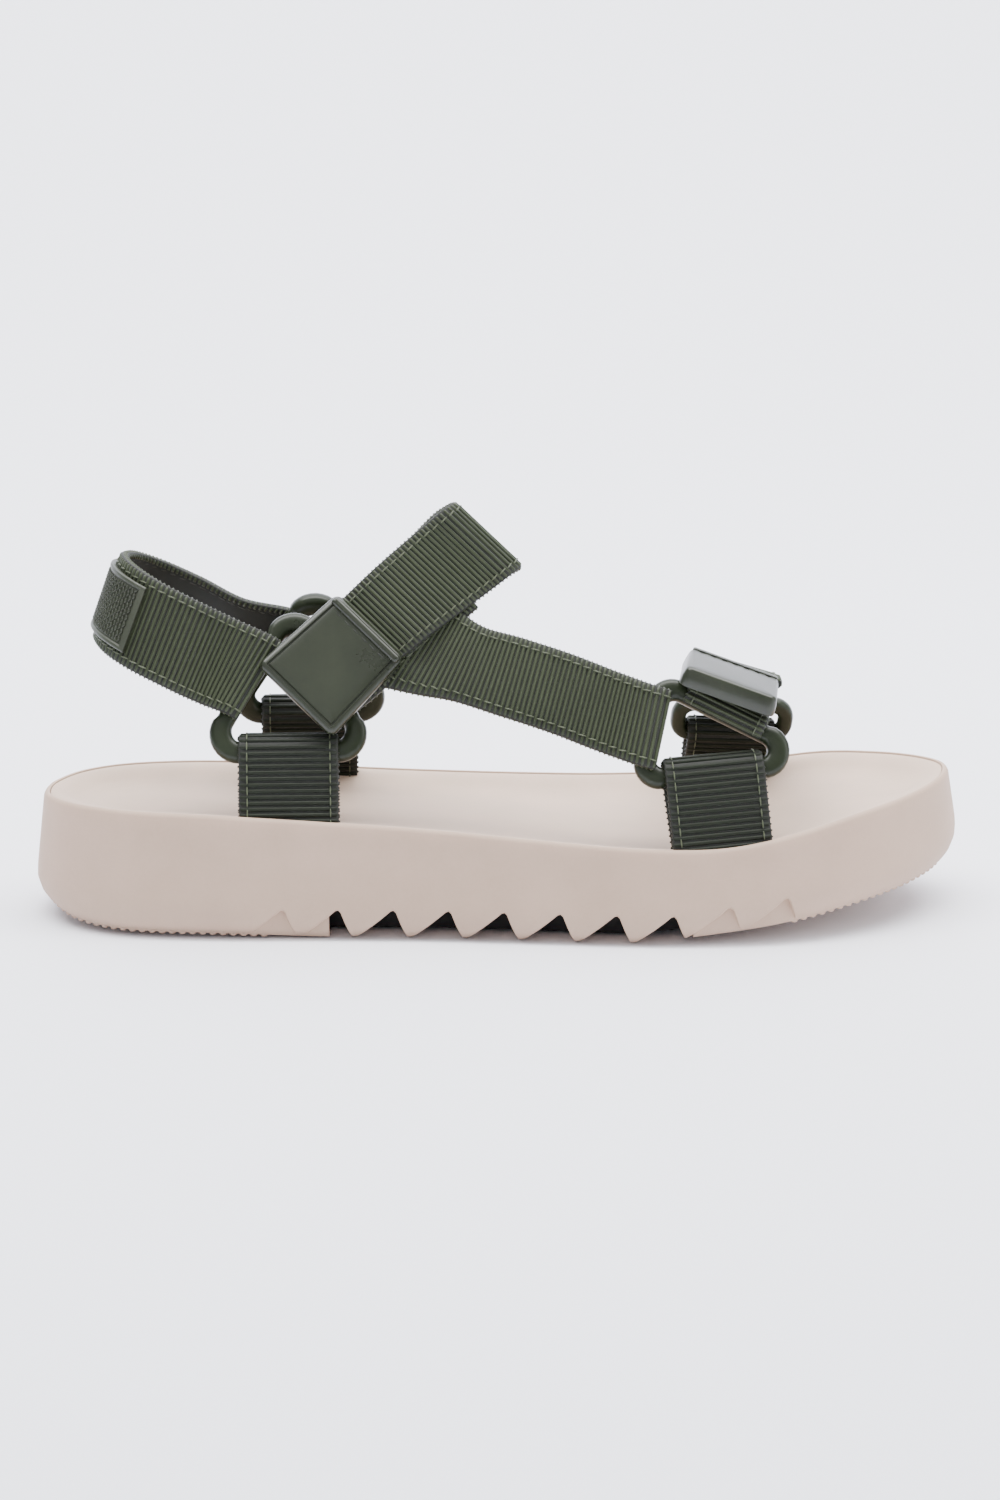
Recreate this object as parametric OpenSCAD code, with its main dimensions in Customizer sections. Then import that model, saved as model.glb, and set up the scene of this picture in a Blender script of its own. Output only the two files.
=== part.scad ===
// Strappy sport sandal, right foot. Millimetres.
// +X points to the toe, +Y to the medial side and +Z up. The tips of the sole's teeth stand on z = 0.

/* [Sole] */
// How far the lower edge of the sole flares out past its rim
sole_flare = 3.2; // [2:0.2:4]
// Width of the rim around the footbed
rim_w = 3.6; // [3:0.2:5]
// Depth of the recess that holds the footbed, below the rim
footbed_depth = 6; // [5:0.5:7]
// Number of open gaps between the teeth of the outsole
open_gaps = 6; // [6:1:6]
// Distance from one tooth to the next
tooth_pitch = 15.45; // [15:0.05:16]
// Height of the gap between two teeth
tooth_h = 8.6; // [6:0.2:9]
// Thickness of the heel and toe tread pads
pad_h = 9; // [9:0.2:10]

/* [Straps] */
// Width of the heel and ankle straps
strap_w = 26; // [24:0.5:27]
// Width of the side strap between ankle and toe
side_strap_w = 23.5; // [22:0.5:25]
// Thickness of every strap
strap_t = 2.2; // [1.8:0.1:2.4]
// Thickness of a strap where it wraps a ring
loop_t = 1.9; // [1.6:0.1:2]

/* [Rings] */
// Radius of the bars of the ankle rings and the lateral toe ring
bar_r = 2.6; // [2.4:0.1:2.7]
// Radius of the bars of the medial toe ring
small_bar_r = 2.3; // [2.1:0.1:2.4]
// Clearance between a ring's bar and the strap around it
loop_gap = 0.5; // [0.4:0.05:0.6]

/* [Hidden] */
$fn = 48;

olive = [0.30, 0.33, 0.24];
dark_olive = [0.20, 0.22, 0.17];
beige = [0.84, 0.79, 0.75];
pale_beige = [0.88, 0.83, 0.80];

// ---------- Small helpers ----------

function unit(v) = v / norm(v);
function point(row) = [row[0], row[1], row[2]];
function across(row) = [row[3], row[4], row[5]];

// Catmull-Rom curve through rows of numbers; s counts rows from the first
function blend4(a, b, c, d, t) =
    0.5 * (2 * b + (c - a) * t + (2 * a - 5 * b + 4 * c - d) * t * t + (3 * b - a - 3 * c + d) * t * t * t);
function row_at(rows, s) =
    let (last = len(rows) - 1)
    let (i = max(0, min(floor(s), last - 1)))
    blend4(
        i > 0 ? rows[i - 1] : 2 * rows[0] - rows[1],
        rows[i],
        rows[i + 1],
        i + 2 <= last ? rows[i + 2] : 2 * rows[last] - rows[last - 1],
        s - i
    );

// Frame at o with its X axis along x_dir and its Y axis near y_dir
module place(o, x_dir, y_dir) {
    x = unit(x_dir);
    z = unit(cross(x, y_dir));
    y = cross(z, x);
    multmatrix([
        [x[0], y[0], z[0], o[0]],
        [x[1], y[1], z[1], o[1]],
        [x[2], y[2], z[2], o[2]],
        [0, 0, 0, 1]
    ]) children();
}

// ---------- Sole ----------

// Along the sole: x, lateral edge y, medial edge y, height of the rim, height of the underside
LAST = [
    [-130, 0, 0, 35.2, 9.5],
    [-128, -10, 10.5, 35.4, 6.2],
    [-120, -21.5, 22, 35.8, 2.4],
    [-105, -30.2, 30, 35.8, 1.2],
    [-80, -34.5, 34, 35.1, 1],
    [-50, -36, 34.5, 33.2, 0],
    [-20, -38.5, 36, 31.2, 0],
    [10, -43, 40.5, 28.9, 0],
    [35, -46.8, 45, 27.3, 0],
    [58, -48, 48, 27.2, 2.6],
    [78, -46, 47, 30.2, 5.2],
    [98, -38.5, 40, 34.4, 8.6],
    [114, -27, 29, 36.7, 11.6],
    [125.5, -12, 16.5, 38, 16],
    [130, 4, 4, 38.4, 21]
];
SOLE_STEPS = 3;
LAST_ROWS = len(LAST) - 1;

// The edges meet at both tips, so the curve continues there into the other edge
function swapped(row) = [row[0], row[2], row[1], row[3], row[4]];
function last_at(s) =
    let (i = min(floor(s), LAST_ROWS - 1))
    let (row = blend4(
        i > 0 ? LAST[i - 1] : swapped(LAST[1]),
        LAST[i],
        LAST[i + 1],
        i + 2 <= LAST_ROWS ? LAST[i + 2] : swapped(LAST[LAST_ROWS - 1]),
        s - i
    ))
    [row[0], row[1], row[2], row[3], max(0, row[4])];
STATIONS = [for (k = [0 : LAST_ROWS * SOLE_STEPS]) last_at(k / SOLE_STEPS)];
TOE_TIP = len(STATIONS) - 1;

// Closed rim outline: lateral edge from heel to toe, then the medial edge back
OUTLINE = concat(
    [for (i = [0 : TOE_TIP]) [STATIONS[i][0], STATIONS[i][1], i]],
    [for (i = [TOE_TIP - 1 : -1 : 1]) [STATIONS[i][0], STATIONS[i][2], i]]
);
OUTLINE_N = len(OUTLINE);
function outline_offset(d) = [
    for (j = [0 : OUTLINE_N - 1])
        let (before = OUTLINE[(j + OUTLINE_N - 1) % OUTLINE_N])
        let (after = OUTLINE[(j + 1) % OUTLINE_N])
        let (run = unit([after[0] - before[0], after[1] - before[1]]))
        [OUTLINE[j][0] + run[1] * d, OUTLINE[j][1] - run[0] * d]
];
function above_underside(d, h) = let (o = outline_offset(d))
    [for (j = [0 : OUTLINE_N - 1]) [o[j][0], o[j][1], STATIONS[OUTLINE[j][2]][4] + h]];
function below_rim(d, h) = let (o = outline_offset(d))
    [for (j = [0 : OUTLINE_N - 1]) [o[j][0], o[j][1], STATIONS[OUTLINE[j][2]][3] - h]];

// Triangles that close a ring of outline points, rung by rung from heel to toe
function cap(first) = [
    for (i = [0 : TOE_TIP - 1])
        let (m0 = (OUTLINE_N - i) % OUTLINE_N)
        let (m1 = OUTLINE_N - i - 1)
        each [
            if (i > 0) [first + i, first + m0, first + m1],
            if (i < TOE_TIP - 1) [first + i, first + m1, first + i + 1]
        ]
];
function turned(faces) = [for (f = faces) [f[2], f[1], f[0]]];

// Solid between rings of outline points, listed from the bottom up
module sole_loft(rings) {
    points = [for (r = rings) each r];
    walls = [
        for (r = [0 : len(rings) - 2])
            for (j = [0 : OUTLINE_N - 1])
                let (a = r * OUTLINE_N + j)
                let (b = r * OUTLINE_N + (j + 1) % OUTLINE_N)
                each [[a, a + OUTLINE_N, b + OUTLINE_N], [a, b + OUTLINE_N, b]]
    ];
    faces = concat(turned(cap(0)), walls, cap((len(rings) - 1) * OUTLINE_N));
    polyhedron(points = points, faces = faces, convexity = 6);
}

footbed_edge = below_rim(-rim_w, footbed_depth);
footbed_lip = below_rim(-rim_w + 0.1, 0.6);

// Outline of a gap between two teeth, seen from the lateral side: long slope, round top, steep face
first_tip_x = -42.8;
tip_flat = 1;
module gap_outline() {
    polygon([
        [tip_flat / 2, -6], [tip_flat / 2, 0],
        [tooth_pitch - 6, tooth_h - 1.1], [tooth_pitch - 5, tooth_h - 0.2], [tooth_pitch - 4.2, tooth_h],
        [tooth_pitch - 3.5, tooth_h - 0.7], [tooth_pitch - tip_flat / 2, 0], [tooth_pitch - tip_flat / 2, -6]
    ]);
}
module tooth_gap(k, lift) {
    translate([first_tip_x + k * tooth_pitch, 60, lift])
        rotate([90, 0, 0])
            linear_extrude(height = 120)
                gap_outline();
}

// A tread pad between two places along the sole, inside the side walls
pad_inset = -4;
heel_pad_x = [-118, -43.6];
toe_pad_x = [50.8, 116];
module pad_prism(x, extra) {
    inset = outline_offset(pad_inset);
    under = [for (s = STATIONS) if (s[0] > x[0] && s[0] < x[1]) [s[0], s[4]]];
    low = concat([[x[0], under[0][1]]], under, [[x[1], under[len(under) - 1][1] + 0.2]]);
    high = [for (i = [len(low) - 1 : -1 : 0]) [low[i][0], low[i][1] + pad_h]];
    intersection() {
        translate([0, 0, -20])
            linear_extrude(height = 60)
                polygon(inset);
        translate([0, 60, 0])
            rotate([90, 0, 0])
                linear_extrude(height = 120)
                    polygon(concat([for (p = low) [p[0], p[1] - extra]], high));
    }
}

module midsole() {
    color(beige) difference() {
        sole_loft([
            above_underside(-3, 0),
            above_underside(1.2, 2),
            above_underside(sole_flare, 6),
            below_rim(0.6, 1.2),
            below_rim(-1.2, 0),
            footbed_lip,
            footbed_edge
        ]);
        for (k = [-2 : open_gaps - 1])
            tooth_gap(k, 0);
        tooth_gap(open_gaps, 2.4);
        tooth_gap(open_gaps + 1, 4.4);
        pad_prism(heel_pad_x, 6);
        pad_prism(toe_pad_x, 6);
        anchor_slots();
        pin_rods(pin_r + 0.05, pin_l + 0.2);
    }
}

module footbed() {
    color(pale_beige) difference() {
        sole_loft([footbed_edge, footbed_lip, below_rim(-8.5, 2.8), below_rim(-14, 3.9)]);
        anchor_slots();
        pin_rods(pin_r + 0.05, pin_l + 0.2);
    }
}

module outsole_heel_pad() {
    color(beige) pad_prism(heel_pad_x, 0);
}

module outsole_toe_pad() {
    color(beige) pad_prism(toe_pad_x, 0);
}

// ---------- Walls that carry the rings ----------

// A wall leans in over the foot: side (-1 lateral, 1 medial), y and z of its foot in the slot, lean
LATERAL_ANKLE = [-1, 31, 33.5, 25];
MEDIAL_ANKLE = [1, 30, 34, 20];
LATERAL_TOE = [-1, 43.5, 27.5, 25];
MEDIAL_TOE = [1, 42, 28.6, 25];

// Point at x along the wall, u up it and v out from it, and a direction in it
function on_wall(w, x, u, v) = [
    x,
    w[0] * (w[1] - u * sin(w[3]) + v * cos(w[3])),
    w[2] + u * cos(w[3]) + v * sin(w[3])
];
function wall_dir(w, a) = [cos(a), -w[0] * sin(a) * sin(w[3]), sin(a) * cos(w[3])];
module wall(w) {
    if (w[0] < 0)
        translate([0, -w[1], w[2]]) rotate([90 - w[3], 0, 0]) children();
    else
        mirror([0, 1, 0]) translate([0, -w[1], w[2]]) rotate([90 - w[3], 0, 0]) children();
}

// ---------- Rings ----------

// Centres of each ring's rounded corners in its wall, anticlockwise from the lower back one
ankle_corner_r = 6;
toe_corner_r = 5;
small_corner_r = 4.5;
ANKLE_CORNERS = [[-72.85, 24.75], [-48.05, 24.75], [-58.6, 48.85]];
medial_ankle_shift = 5.8;
MEDIAL_ANKLE_CORNERS = [for (c = ANKLE_CORNERS) c + [medial_ankle_shift, 0]];
TOE_CORNERS = [[43.9, 24.1], [70.4, 26.4], [47.4, 38.4]];
small_ring_tilt = -3;
function small_corner(x, u) = [
    71.1 + x * cos(small_ring_tilt) - u * sin(small_ring_tilt),
    19.2 + x * sin(small_ring_tilt) + u * cos(small_ring_tilt)
];
SMALL_CORNERS = [
    small_corner(-11.6, -1), small_corner(11.6, -1), small_corner(11.6, 1), small_corner(-11.6, 1)
];

// Bar i of a ring: its middle, its direction and its length
function edge(corners, i) = corners[(i + 1) % len(corners)] - corners[i];
function bar_angle(corners, i) = atan2(edge(corners, i)[1], edge(corners, i)[0]);
function bar_mid(corners, i, r) =
    let (d = unit(edge(corners, i)))
    corners[i] + edge(corners, i) / 2 + [d[1], -d[0]] * r;
function bar_point(w, corners, i, r) = let (m = bar_mid(corners, i, r)) on_wall(w, m[0], m[1], 0);
function bar_dir(w, corners, i) = wall_dir(w, bar_angle(corners, i));

// Each bar is a hair thinner than the corners and runs a little way into them
bar_step = 0.02;
bar_overlap = 0.4;
module ring(corners, corner_r, r) {
    n = len(corners);
    for (i = [0 : n - 1]) {
        m = bar_mid(corners, i, corner_r);
        a = bar_angle(corners, i);
        before = bar_angle(corners, (i + n - 1) % n);
        translate([m[0], m[1], 0])
            rotate([0, 0, a])
                rotate([0, 90, 0])
                    cylinder(h = norm(edge(corners, i)) + 2 * bar_overlap, r = r - bar_step, center = true);
        translate([corners[i][0], corners[i][1], 0])
            rotate([0, 0, before - 90])
                rotate_extrude(angle = (a - before + 360) % 360)
                    translate([corner_r, 0])
                        circle(r = r);
    }
}

module lateral_ankle_ring() {
    color(dark_olive) wall(LATERAL_ANKLE) ring(ANKLE_CORNERS, ankle_corner_r, bar_r);
}

module medial_ankle_ring() {
    color(dark_olive) wall(MEDIAL_ANKLE) ring(MEDIAL_ANKLE_CORNERS, ankle_corner_r, bar_r);
}

module lateral_toe_ring() {
    color(dark_olive) wall(LATERAL_TOE) ring(TOE_CORNERS, toe_corner_r, bar_r);
}

module medial_toe_ring() {
    color(dark_olive) wall(MEDIAL_TOE) ring(SMALL_CORNERS, small_corner_r, small_bar_r);
}

// ---------- Anchor straps, their slots and pins ----------

anchor_w = 27;
small_anchor_w = 26;
tail_l = 12;
pin_r = 1.5;
pin_l = 33;
pin_depth = 8;
slot_gap = 0.3;

// Each anchor: its wall, its ring's corners, corner radius, bar radius, width
ANCHORS = [
    [LATERAL_ANKLE, ANKLE_CORNERS, ankle_corner_r, bar_r, anchor_w],
    [MEDIAL_ANKLE, MEDIAL_ANKLE_CORNERS, ankle_corner_r, bar_r, anchor_w],
    [LATERAL_TOE, TOE_CORNERS, toe_corner_r, bar_r, anchor_w],
    [MEDIAL_TOE, SMALL_CORNERS, small_corner_r, small_bar_r, small_anchor_w]
];

// Frame at the middle of the ring's lowest bar: X along the bar, Y up the wall, Z out from it
module at_bar(a) {
    m = bar_mid(a[1], 0, a[2]);
    wall(a[0]) translate([m[0], m[1], 0]) rotate([0, 0, bar_angle(a[1], 0)]) children();
}
function rise(a) = bar_mid(a[1], 0, a[2])[1];

// Side view of an anchor: two plies that part around the bar, then turn down into the sole
module anchor_side(a) {
    outer = a[3] + loop_gap + loop_t;
    inside = outer - 0.05;
    ply = strap_t;
    reach = sqrt(ply * ply + rise(a) * rise(a));
    touch = asin(outer / reach) - atan2(ply, rise(a));
    lean = a[0][3];
    circle(r = outer);
    polygon([
        [-inside * sin(touch), inside * cos(touch)], [-rise(a), ply],
        [-rise(a), -ply], [-inside * sin(touch), -inside * cos(touch)]
    ]);
    translate([-rise(a), 0])
        rotate(lean)
            translate([-tail_l, -ply])
                square([tail_l + 0.6, 2 * ply]);
}
module anchor(a) {
    at_bar(a) difference() {
        rotate([90, 0, 90])
            linear_extrude(height = a[4], center = true)
                difference() {
                    anchor_side(a);
                    circle(r = a[3] + loop_gap);
                }
        at_pin(a) rotate([0, 90, 0]) cylinder(h = 60, r = pin_r + 0.05, center = true);
    }
}
module at_pin(a) {
    lean = a[0][3];
    translate([0, -rise(a) - pin_depth * cos(lean), -pin_depth * sin(lean)]) children();
}
module pin_rods(r, l) {
    for (a = ANCHORS)
        at_bar(a) at_pin(a) rotate([0, 90, 0]) cylinder(h = l, r = r, center = true);
}
module slot_block(w, low, high) {
    translate([-w / 2 - slot_gap, low, -strap_t - slot_gap])
        cube([w + 2 * slot_gap, high - low, 2 * (strap_t + slot_gap)]);
}
// Below the wall's foot a slot is upright, and above it leans with the strap
slot_l = 9;
slot_spare = 0.5;
module anchor_slots() {
    for (a = ANCHORS)
        at_bar(a) translate([0, -rise(a), 0]) {
            slot_block(a[4], -slot_spare, slot_l);
            rotate([a[0][3], 0, 0]) slot_block(a[4], -tail_l - slot_spare, slot_l);
        }
}

module lateral_ankle_anchor() {
    color(dark_olive) anchor(ANCHORS[0]);
}

module medial_ankle_anchor() {
    color(dark_olive) anchor(ANCHORS[1]);
}

module lateral_toe_anchor() {
    color(dark_olive) anchor(ANCHORS[2]);
}

module medial_toe_anchor() {
    color(dark_olive) anchor(ANCHORS[3]);
}

module anchor_pins() {
    color(dark_olive) pin_rods(pin_r, pin_l);
}

// ---------- Straps ----------

// A row's place is nudged both ways to find the direction along the band
nudge = 0.02;

// A flat band along rows of [point, direction across], from s0 to s1, lifted off its middle line
module band(rows, s0, s1, n, width, thick, lift = 0) {
    cuts = [for (k = [0 : n]) s0 + (s1 - s0) * k / n];
    points = [
        for (s = cuts)
            let (here = row_at(rows, s))
            let (w = unit(across(here)) * width / 2)
            let (t = point(row_at(rows, s + nudge)) - point(row_at(rows, s - nudge)))
            let (out = unit(cross(t, w)))
            let (p = point(here) + out * lift)
            let (h = out * thick / 2)
            each [p + w + h, p + w - h, p - w - h, p - w + h]
    ];
    sides = [
        for (i = [0 : n - 1])
            for (k = [0 : 3])
                let (a = 4 * i + k)
                let (b = 4 * i + (k + 1) % 4)
                each [[a, b, b + 4], [a, b + 4, a + 4]]
    ];
    e = 4 * n;
    caps = [[3, 2, 1], [3, 1, 0], [e, e + 1, e + 2], [e, e + 2, e + 3]];
    polyhedron(points = points, faces = concat(sides, caps), convexity = 6);
}

// A strap's wrap around bar i of a ring
module wrap(w, corners, i, corner_r, r, width) {
    m = bar_mid(corners, i, corner_r);
    wall(w) translate([m[0], m[1], 0]) rotate([0, 0, bar_angle(corners, i)]) rotate([0, 90, 0])
        difference() {
            cylinder(h = width, r = r + loop_gap + loop_t, center = true);
            cylinder(h = width + 2, r = r + loop_gap, center = true);
        }
}

// Heel strap: round the back of the foot from the lateral ankle ring to the medial one
lateral_back_bar = bar_point(LATERAL_ANKLE, ANKLE_CORNERS, 2, ankle_corner_r);
medial_back_bar = bar_point(MEDIAL_ANKLE, MEDIAL_ANKLE_CORNERS, 2, ankle_corner_r);
lateral_back_dir = -bar_dir(LATERAL_ANKLE, ANKLE_CORNERS, 2);
medial_back_dir = -bar_dir(MEDIAL_ANKLE, MEDIAL_ANKLE_CORNERS, 2);
wrap_lap = 0.8;
wrap_start = bar_r + loop_gap + wrap_lap;
HEEL_ROWS = [
    concat(lateral_back_bar + unit([-9, -3.5, 5]) * wrap_start, lateral_back_dir),
    [-79.5, -17.6, 75.2, 0.42, 0.33, 0.85],
    [-90, -20.4, 81, 0.38, 0.29, 0.88],
    [-100, -18.4, 86, 0.36, 0.22, 0.91],
    [-107.4, -11.2, 89.7, 0.34, 0.11, 0.93],
    [-110.2, 0, 91.2, 0.337, 0, 0.943],
    [-107.4, 11.2, 89.9, 0.34, -0.11, 0.93],
    [-100, 18.8, 86.4, 0.36, -0.22, 0.91],
    [-90, 21, 81.6, 0.38, -0.28, 0.88],
    [-78.5, 19, 76, 0.42, -0.30, 0.85],
    concat(medial_back_bar + unit([-9, 2.5, 4]) * wrap_start, medial_back_dir)
];
HEEL_END = len(HEEL_ROWS) - 1;
seam_x = -90;
seam_z = 81.3;
seam_tilt = 23;
seam_r = 13;
seam_gap = 1;
heel_steps = 30;

module heel_band() {
    band(HEEL_ROWS, 0, HEEL_END, heel_steps, strap_w, strap_t);
}
module behind_seam() {
    translate([seam_x, 0, seam_z])
        rotate([0, seam_tilt, 0])
            translate([-80, -50, -80])
                cube([80, 100, 160]);
}
module seam_knuckle(r) {
    translate([seam_x, 0, seam_z]) rotate([90, 0, 0]) cylinder(h = 100, r = r, center = true);
}

module heel_strap() {
    color(olive) intersection() {
        heel_band();
        union() {
            behind_seam();
            seam_knuckle(seam_r);
        }
    }
}
module heel_end(side) {
    intersection() {
        difference() {
            heel_band();
            behind_seam();
            seam_knuckle(seam_r + seam_gap);
        }
        translate([-100, side < 0 ? -60 : 0, 0]) cube([100, 60, 160]);
    }
}

module heel_strap_lateral_end() {
    color(olive) union() {
        heel_end(-1);
        wrap(LATERAL_ANKLE, ANKLE_CORNERS, 2, ankle_corner_r, bar_r, strap_w);
    }
}

module heel_strap_medial_end() {
    color(olive) union() {
        heel_end(1);
        wrap(MEDIAL_ANKLE, MEDIAL_ANKLE_CORNERS, 2, ankle_corner_r, bar_r, strap_w);
    }
}

patch_t = 1.2;
patch_h = 19;
patch_from = 3.9;
patch_to = 6.1;
patch_steps = 12;
heel_patch_gap = 0.15;
module heel_patch() {
    color(olive)
        band(HEEL_ROWS, patch_from, patch_to, patch_steps, patch_h, patch_t,
            -(strap_t + patch_t) / 2 - heel_patch_gap);
}

// Ankle base strap: a flat strap out of the lateral ankle ring's front bar, up under the flap
base_v = 3.6;
base_angle = 41;
base_l = 44;
base_w = 24.5;
base_wrap_w = 22;
// Where the straight part starts, where the root's middle is, and the root's two outer corners from there
straight_s = 9;
root_s = 1.9;
root_lap = 0.2;
root_low = [5, -11];
root_high = [-4, 10];
base_bar = bar_mid(ANKLE_CORNERS, 1, ankle_corner_r);
joint_s = straight_s + root_lap;
module along_base(s, v) {
    wall(LATERAL_ANKLE)
        translate([base_bar[0], base_bar[1], v])
            rotate([0, 0, base_angle])
                translate([s, 0, 0])
                    children();
}
module ankle_base_strap() {
    color(olive) union() {
        along_base(straight_s, base_v - strap_t / 2)
            translate([0, -base_w / 2, 0])
                cube([base_l - straight_s, base_w, strap_t]);
        wall(LATERAL_ANKLE)
            translate([base_bar[0], base_bar[1], base_v - strap_t / 2])
                linear_extrude(height = strap_t)
                    polygon([
                        [root_s * cos(base_angle) + root_low[0], root_s + root_low[1]],
                        [root_s * cos(base_angle) + root_high[0], root_s + root_high[1]],
                        joint_s * [cos(base_angle), sin(base_angle)]
                            + base_w / 2 * [-sin(base_angle), cos(base_angle)],
                        joint_s * [cos(base_angle), sin(base_angle)]
                            - base_w / 2 * [-sin(base_angle), cos(base_angle)]
                    ]);
        wrap(LATERAL_ANKLE, ANKLE_CORNERS, 1, ankle_corner_r, bar_r, base_wrap_w);
    }
}

patch_l = 18;
patch_w = 20;
loop_patch_t = 0.8;
loop_patch_s = 19;
module ankle_loop_patch() {
    color(dark_olive)
        along_base(loop_patch_s, base_v + strap_t / 2)
            translate([0, -patch_w / 2, 0])
                cube([patch_l, patch_w, loop_patch_t]);
}

// Side strap: from the base strap's lower edge forward to the lateral toe ring's back bar
toe_back_bar = bar_point(LATERAL_TOE, TOE_CORNERS, 2, toe_corner_r);
toe_back_dir = -bar_dir(LATERAL_TOE, TOE_CORNERS, 2);
SIDE_ROWS = [
    concat(on_wall(LATERAL_ANKLE, -20.5, 47.2, base_v), wall_dir(LATERAL_ANKLE, base_angle)),
    concat([-10.5, -17.2, 74.1], [0.42, 0.39, 0.82]),
    [2, -20.6, 70.7, 0.30, 0.40, 0.87],
    [16, -24, 66.5, 0.28, 0.39, 0.88],
    [29, -27.6, 61.9, 0.27, 0.39, 0.88],
    concat(toe_back_bar + unit([-9, 2, 3]) * wrap_start, toe_back_dir)
];
SIDE_END = len(SIDE_ROWS) - 1;
side_start = 0.09;
side_steps = 14;
side_wrap_w = 14.5;
module side_strap() {
    color(olive) union() {
        band(SIDE_ROWS, side_start, SIDE_END, side_steps, side_strap_w, strap_t);
        wrap(LATERAL_TOE, TOE_CORNERS, 2, toe_corner_r, bar_r, side_wrap_w);
    }
}

// Ankle closure: from the medial ankle ring's front bar up over the instep to the tab
medial_front_bar = bar_point(MEDIAL_ANKLE, MEDIAL_ANKLE_CORNERS, 1, ankle_corner_r);
medial_front_dir = -bar_dir(MEDIAL_ANKLE, MEDIAL_ANKLE_CORNERS, 1);
tab_angle = 44.5;
flap_v = 7.8;
tab_across = wall_dir(LATERAL_ANKLE, tab_angle - 90);
ANKLE_ROWS = [
    concat(medial_front_bar + unit([12, -2.8, 11.7]) * wrap_start, medial_front_dir),
    [-30, 14.6, 82.8, 0.58, 0.22, -0.78],
    [-18.5, 11.4, 94, 0.68, 0.14, -0.71],
    [-8.8, 6.8, 103.4, 0.71, 0.07, -0.70],
    [-4.3, 0.4, 106.9, 0.72, 0, -0.69],
    concat(on_wall(LATERAL_ANKLE, -9.5, 74.4, 8.2), 0.5 * ([0.72, 0, -0.69] + tab_across)),
    concat(on_wall(LATERAL_ANKLE, -20.5, 65.8, flap_v), tab_across),
    concat(on_wall(LATERAL_ANKLE, -31, 57.3, flap_v), tab_across),
    concat(on_wall(LATERAL_ANKLE, -41, 49.2, flap_v), tab_across)
];
crest = 4;
crest_gap = 0.04;
closure_steps = 14;
closure_wrap_w = 24;
flap_steps = 16;
module ankle_closure_strap() {
    color(olive) union() {
        band(ANKLE_ROWS, 0, crest - crest_gap, closure_steps, strap_w, strap_t);
        wrap(MEDIAL_ANKLE, MEDIAL_ANKLE_CORNERS, 1, ankle_corner_r, bar_r, closure_wrap_w);
    }
}

tab_l = 29;
tab_w = 27;
tab_t = 3.6;
tab_sink = 0.7;
tab_center = [-47.8, 42.2];
module ankle_flap_strap() {
    color(olive) difference() {
        band(ANKLE_ROWS, crest + crest_gap, len(ANKLE_ROWS) - 1, flap_steps, strap_w, strap_t);
        ankle_tab_block();
    }
}
module ankle_tab_block() {
    wall(LATERAL_ANKLE)
        translate([tab_center[0], tab_center[1], flap_v - strap_t / 2 - tab_sink])
            rotate([0, 0, tab_angle])
                translate([-tab_l / 2, -tab_w / 2, 0])
                    cube([tab_l, tab_w, tab_t]);
}
module ankle_tab() {
    color(olive) ankle_tab_block();
}

hook_inset = 2;
hook_t = 0.7;
hook_gap = 0.15;
hook_s = 20;
module ankle_hook_patch() {
    color(dark_olive)
        along_base(hook_s, flap_v - strap_t / 2 - hook_t - hook_gap)
            translate([0, (hook_inset - patch_w) / 2, 0])
                cube([patch_l - hook_inset, patch_w - hook_inset, hook_t]);
}

// Toe closure: from the medial toe ring's top bar over the foot to the toe tab
small_top_bar = bar_point(MEDIAL_TOE, SMALL_CORNERS, 2, small_corner_r);
small_top_dir = -bar_dir(MEDIAL_TOE, SMALL_CORNERS, 2);
toe_across = [0.953, 0, -0.303];
TOE_ROWS = [
    concat(small_top_bar + [-0.4, -1.6, 2.6], small_top_dir),
    [70.4, 24.5, 58, 0.99, 0, -0.14],
    [69.7, 13, 63.8, 0.975, 0, -0.22],
    [68.7, 1, 67.9, 0.96, 0, -0.28],
    concat([68.1, -7, 69.6], toe_across),
    concat([66.9, -16, 70.3], toe_across)
];
toe_tab_near = [62.6, -35, 70.8];
toe_tab_dir = [0.23, 0.97, 0.07];
toe_tab_l = 22;
toe_steps = 15;
toe_wrap_w = 23;
toe_closure_w = 25;
module toe_closure_strap() {
    color(olive) difference() {
        union() {
            band(TOE_ROWS, 0, len(TOE_ROWS) - 1, toe_steps, toe_closure_w, strap_t);
            wrap(MEDIAL_TOE, SMALL_CORNERS, 2, small_corner_r, small_bar_r, toe_wrap_w);
        }
        toe_tab_block();
    }
}
module toe_tab_block() {
    place(toe_tab_near, toe_across, toe_tab_dir)
        translate([-tab_w / 2, 0, -tab_t])
            cube([tab_w, toe_tab_l, tab_t]);
}
module toe_tab() {
    color(olive) toe_tab_block();
}

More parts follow.
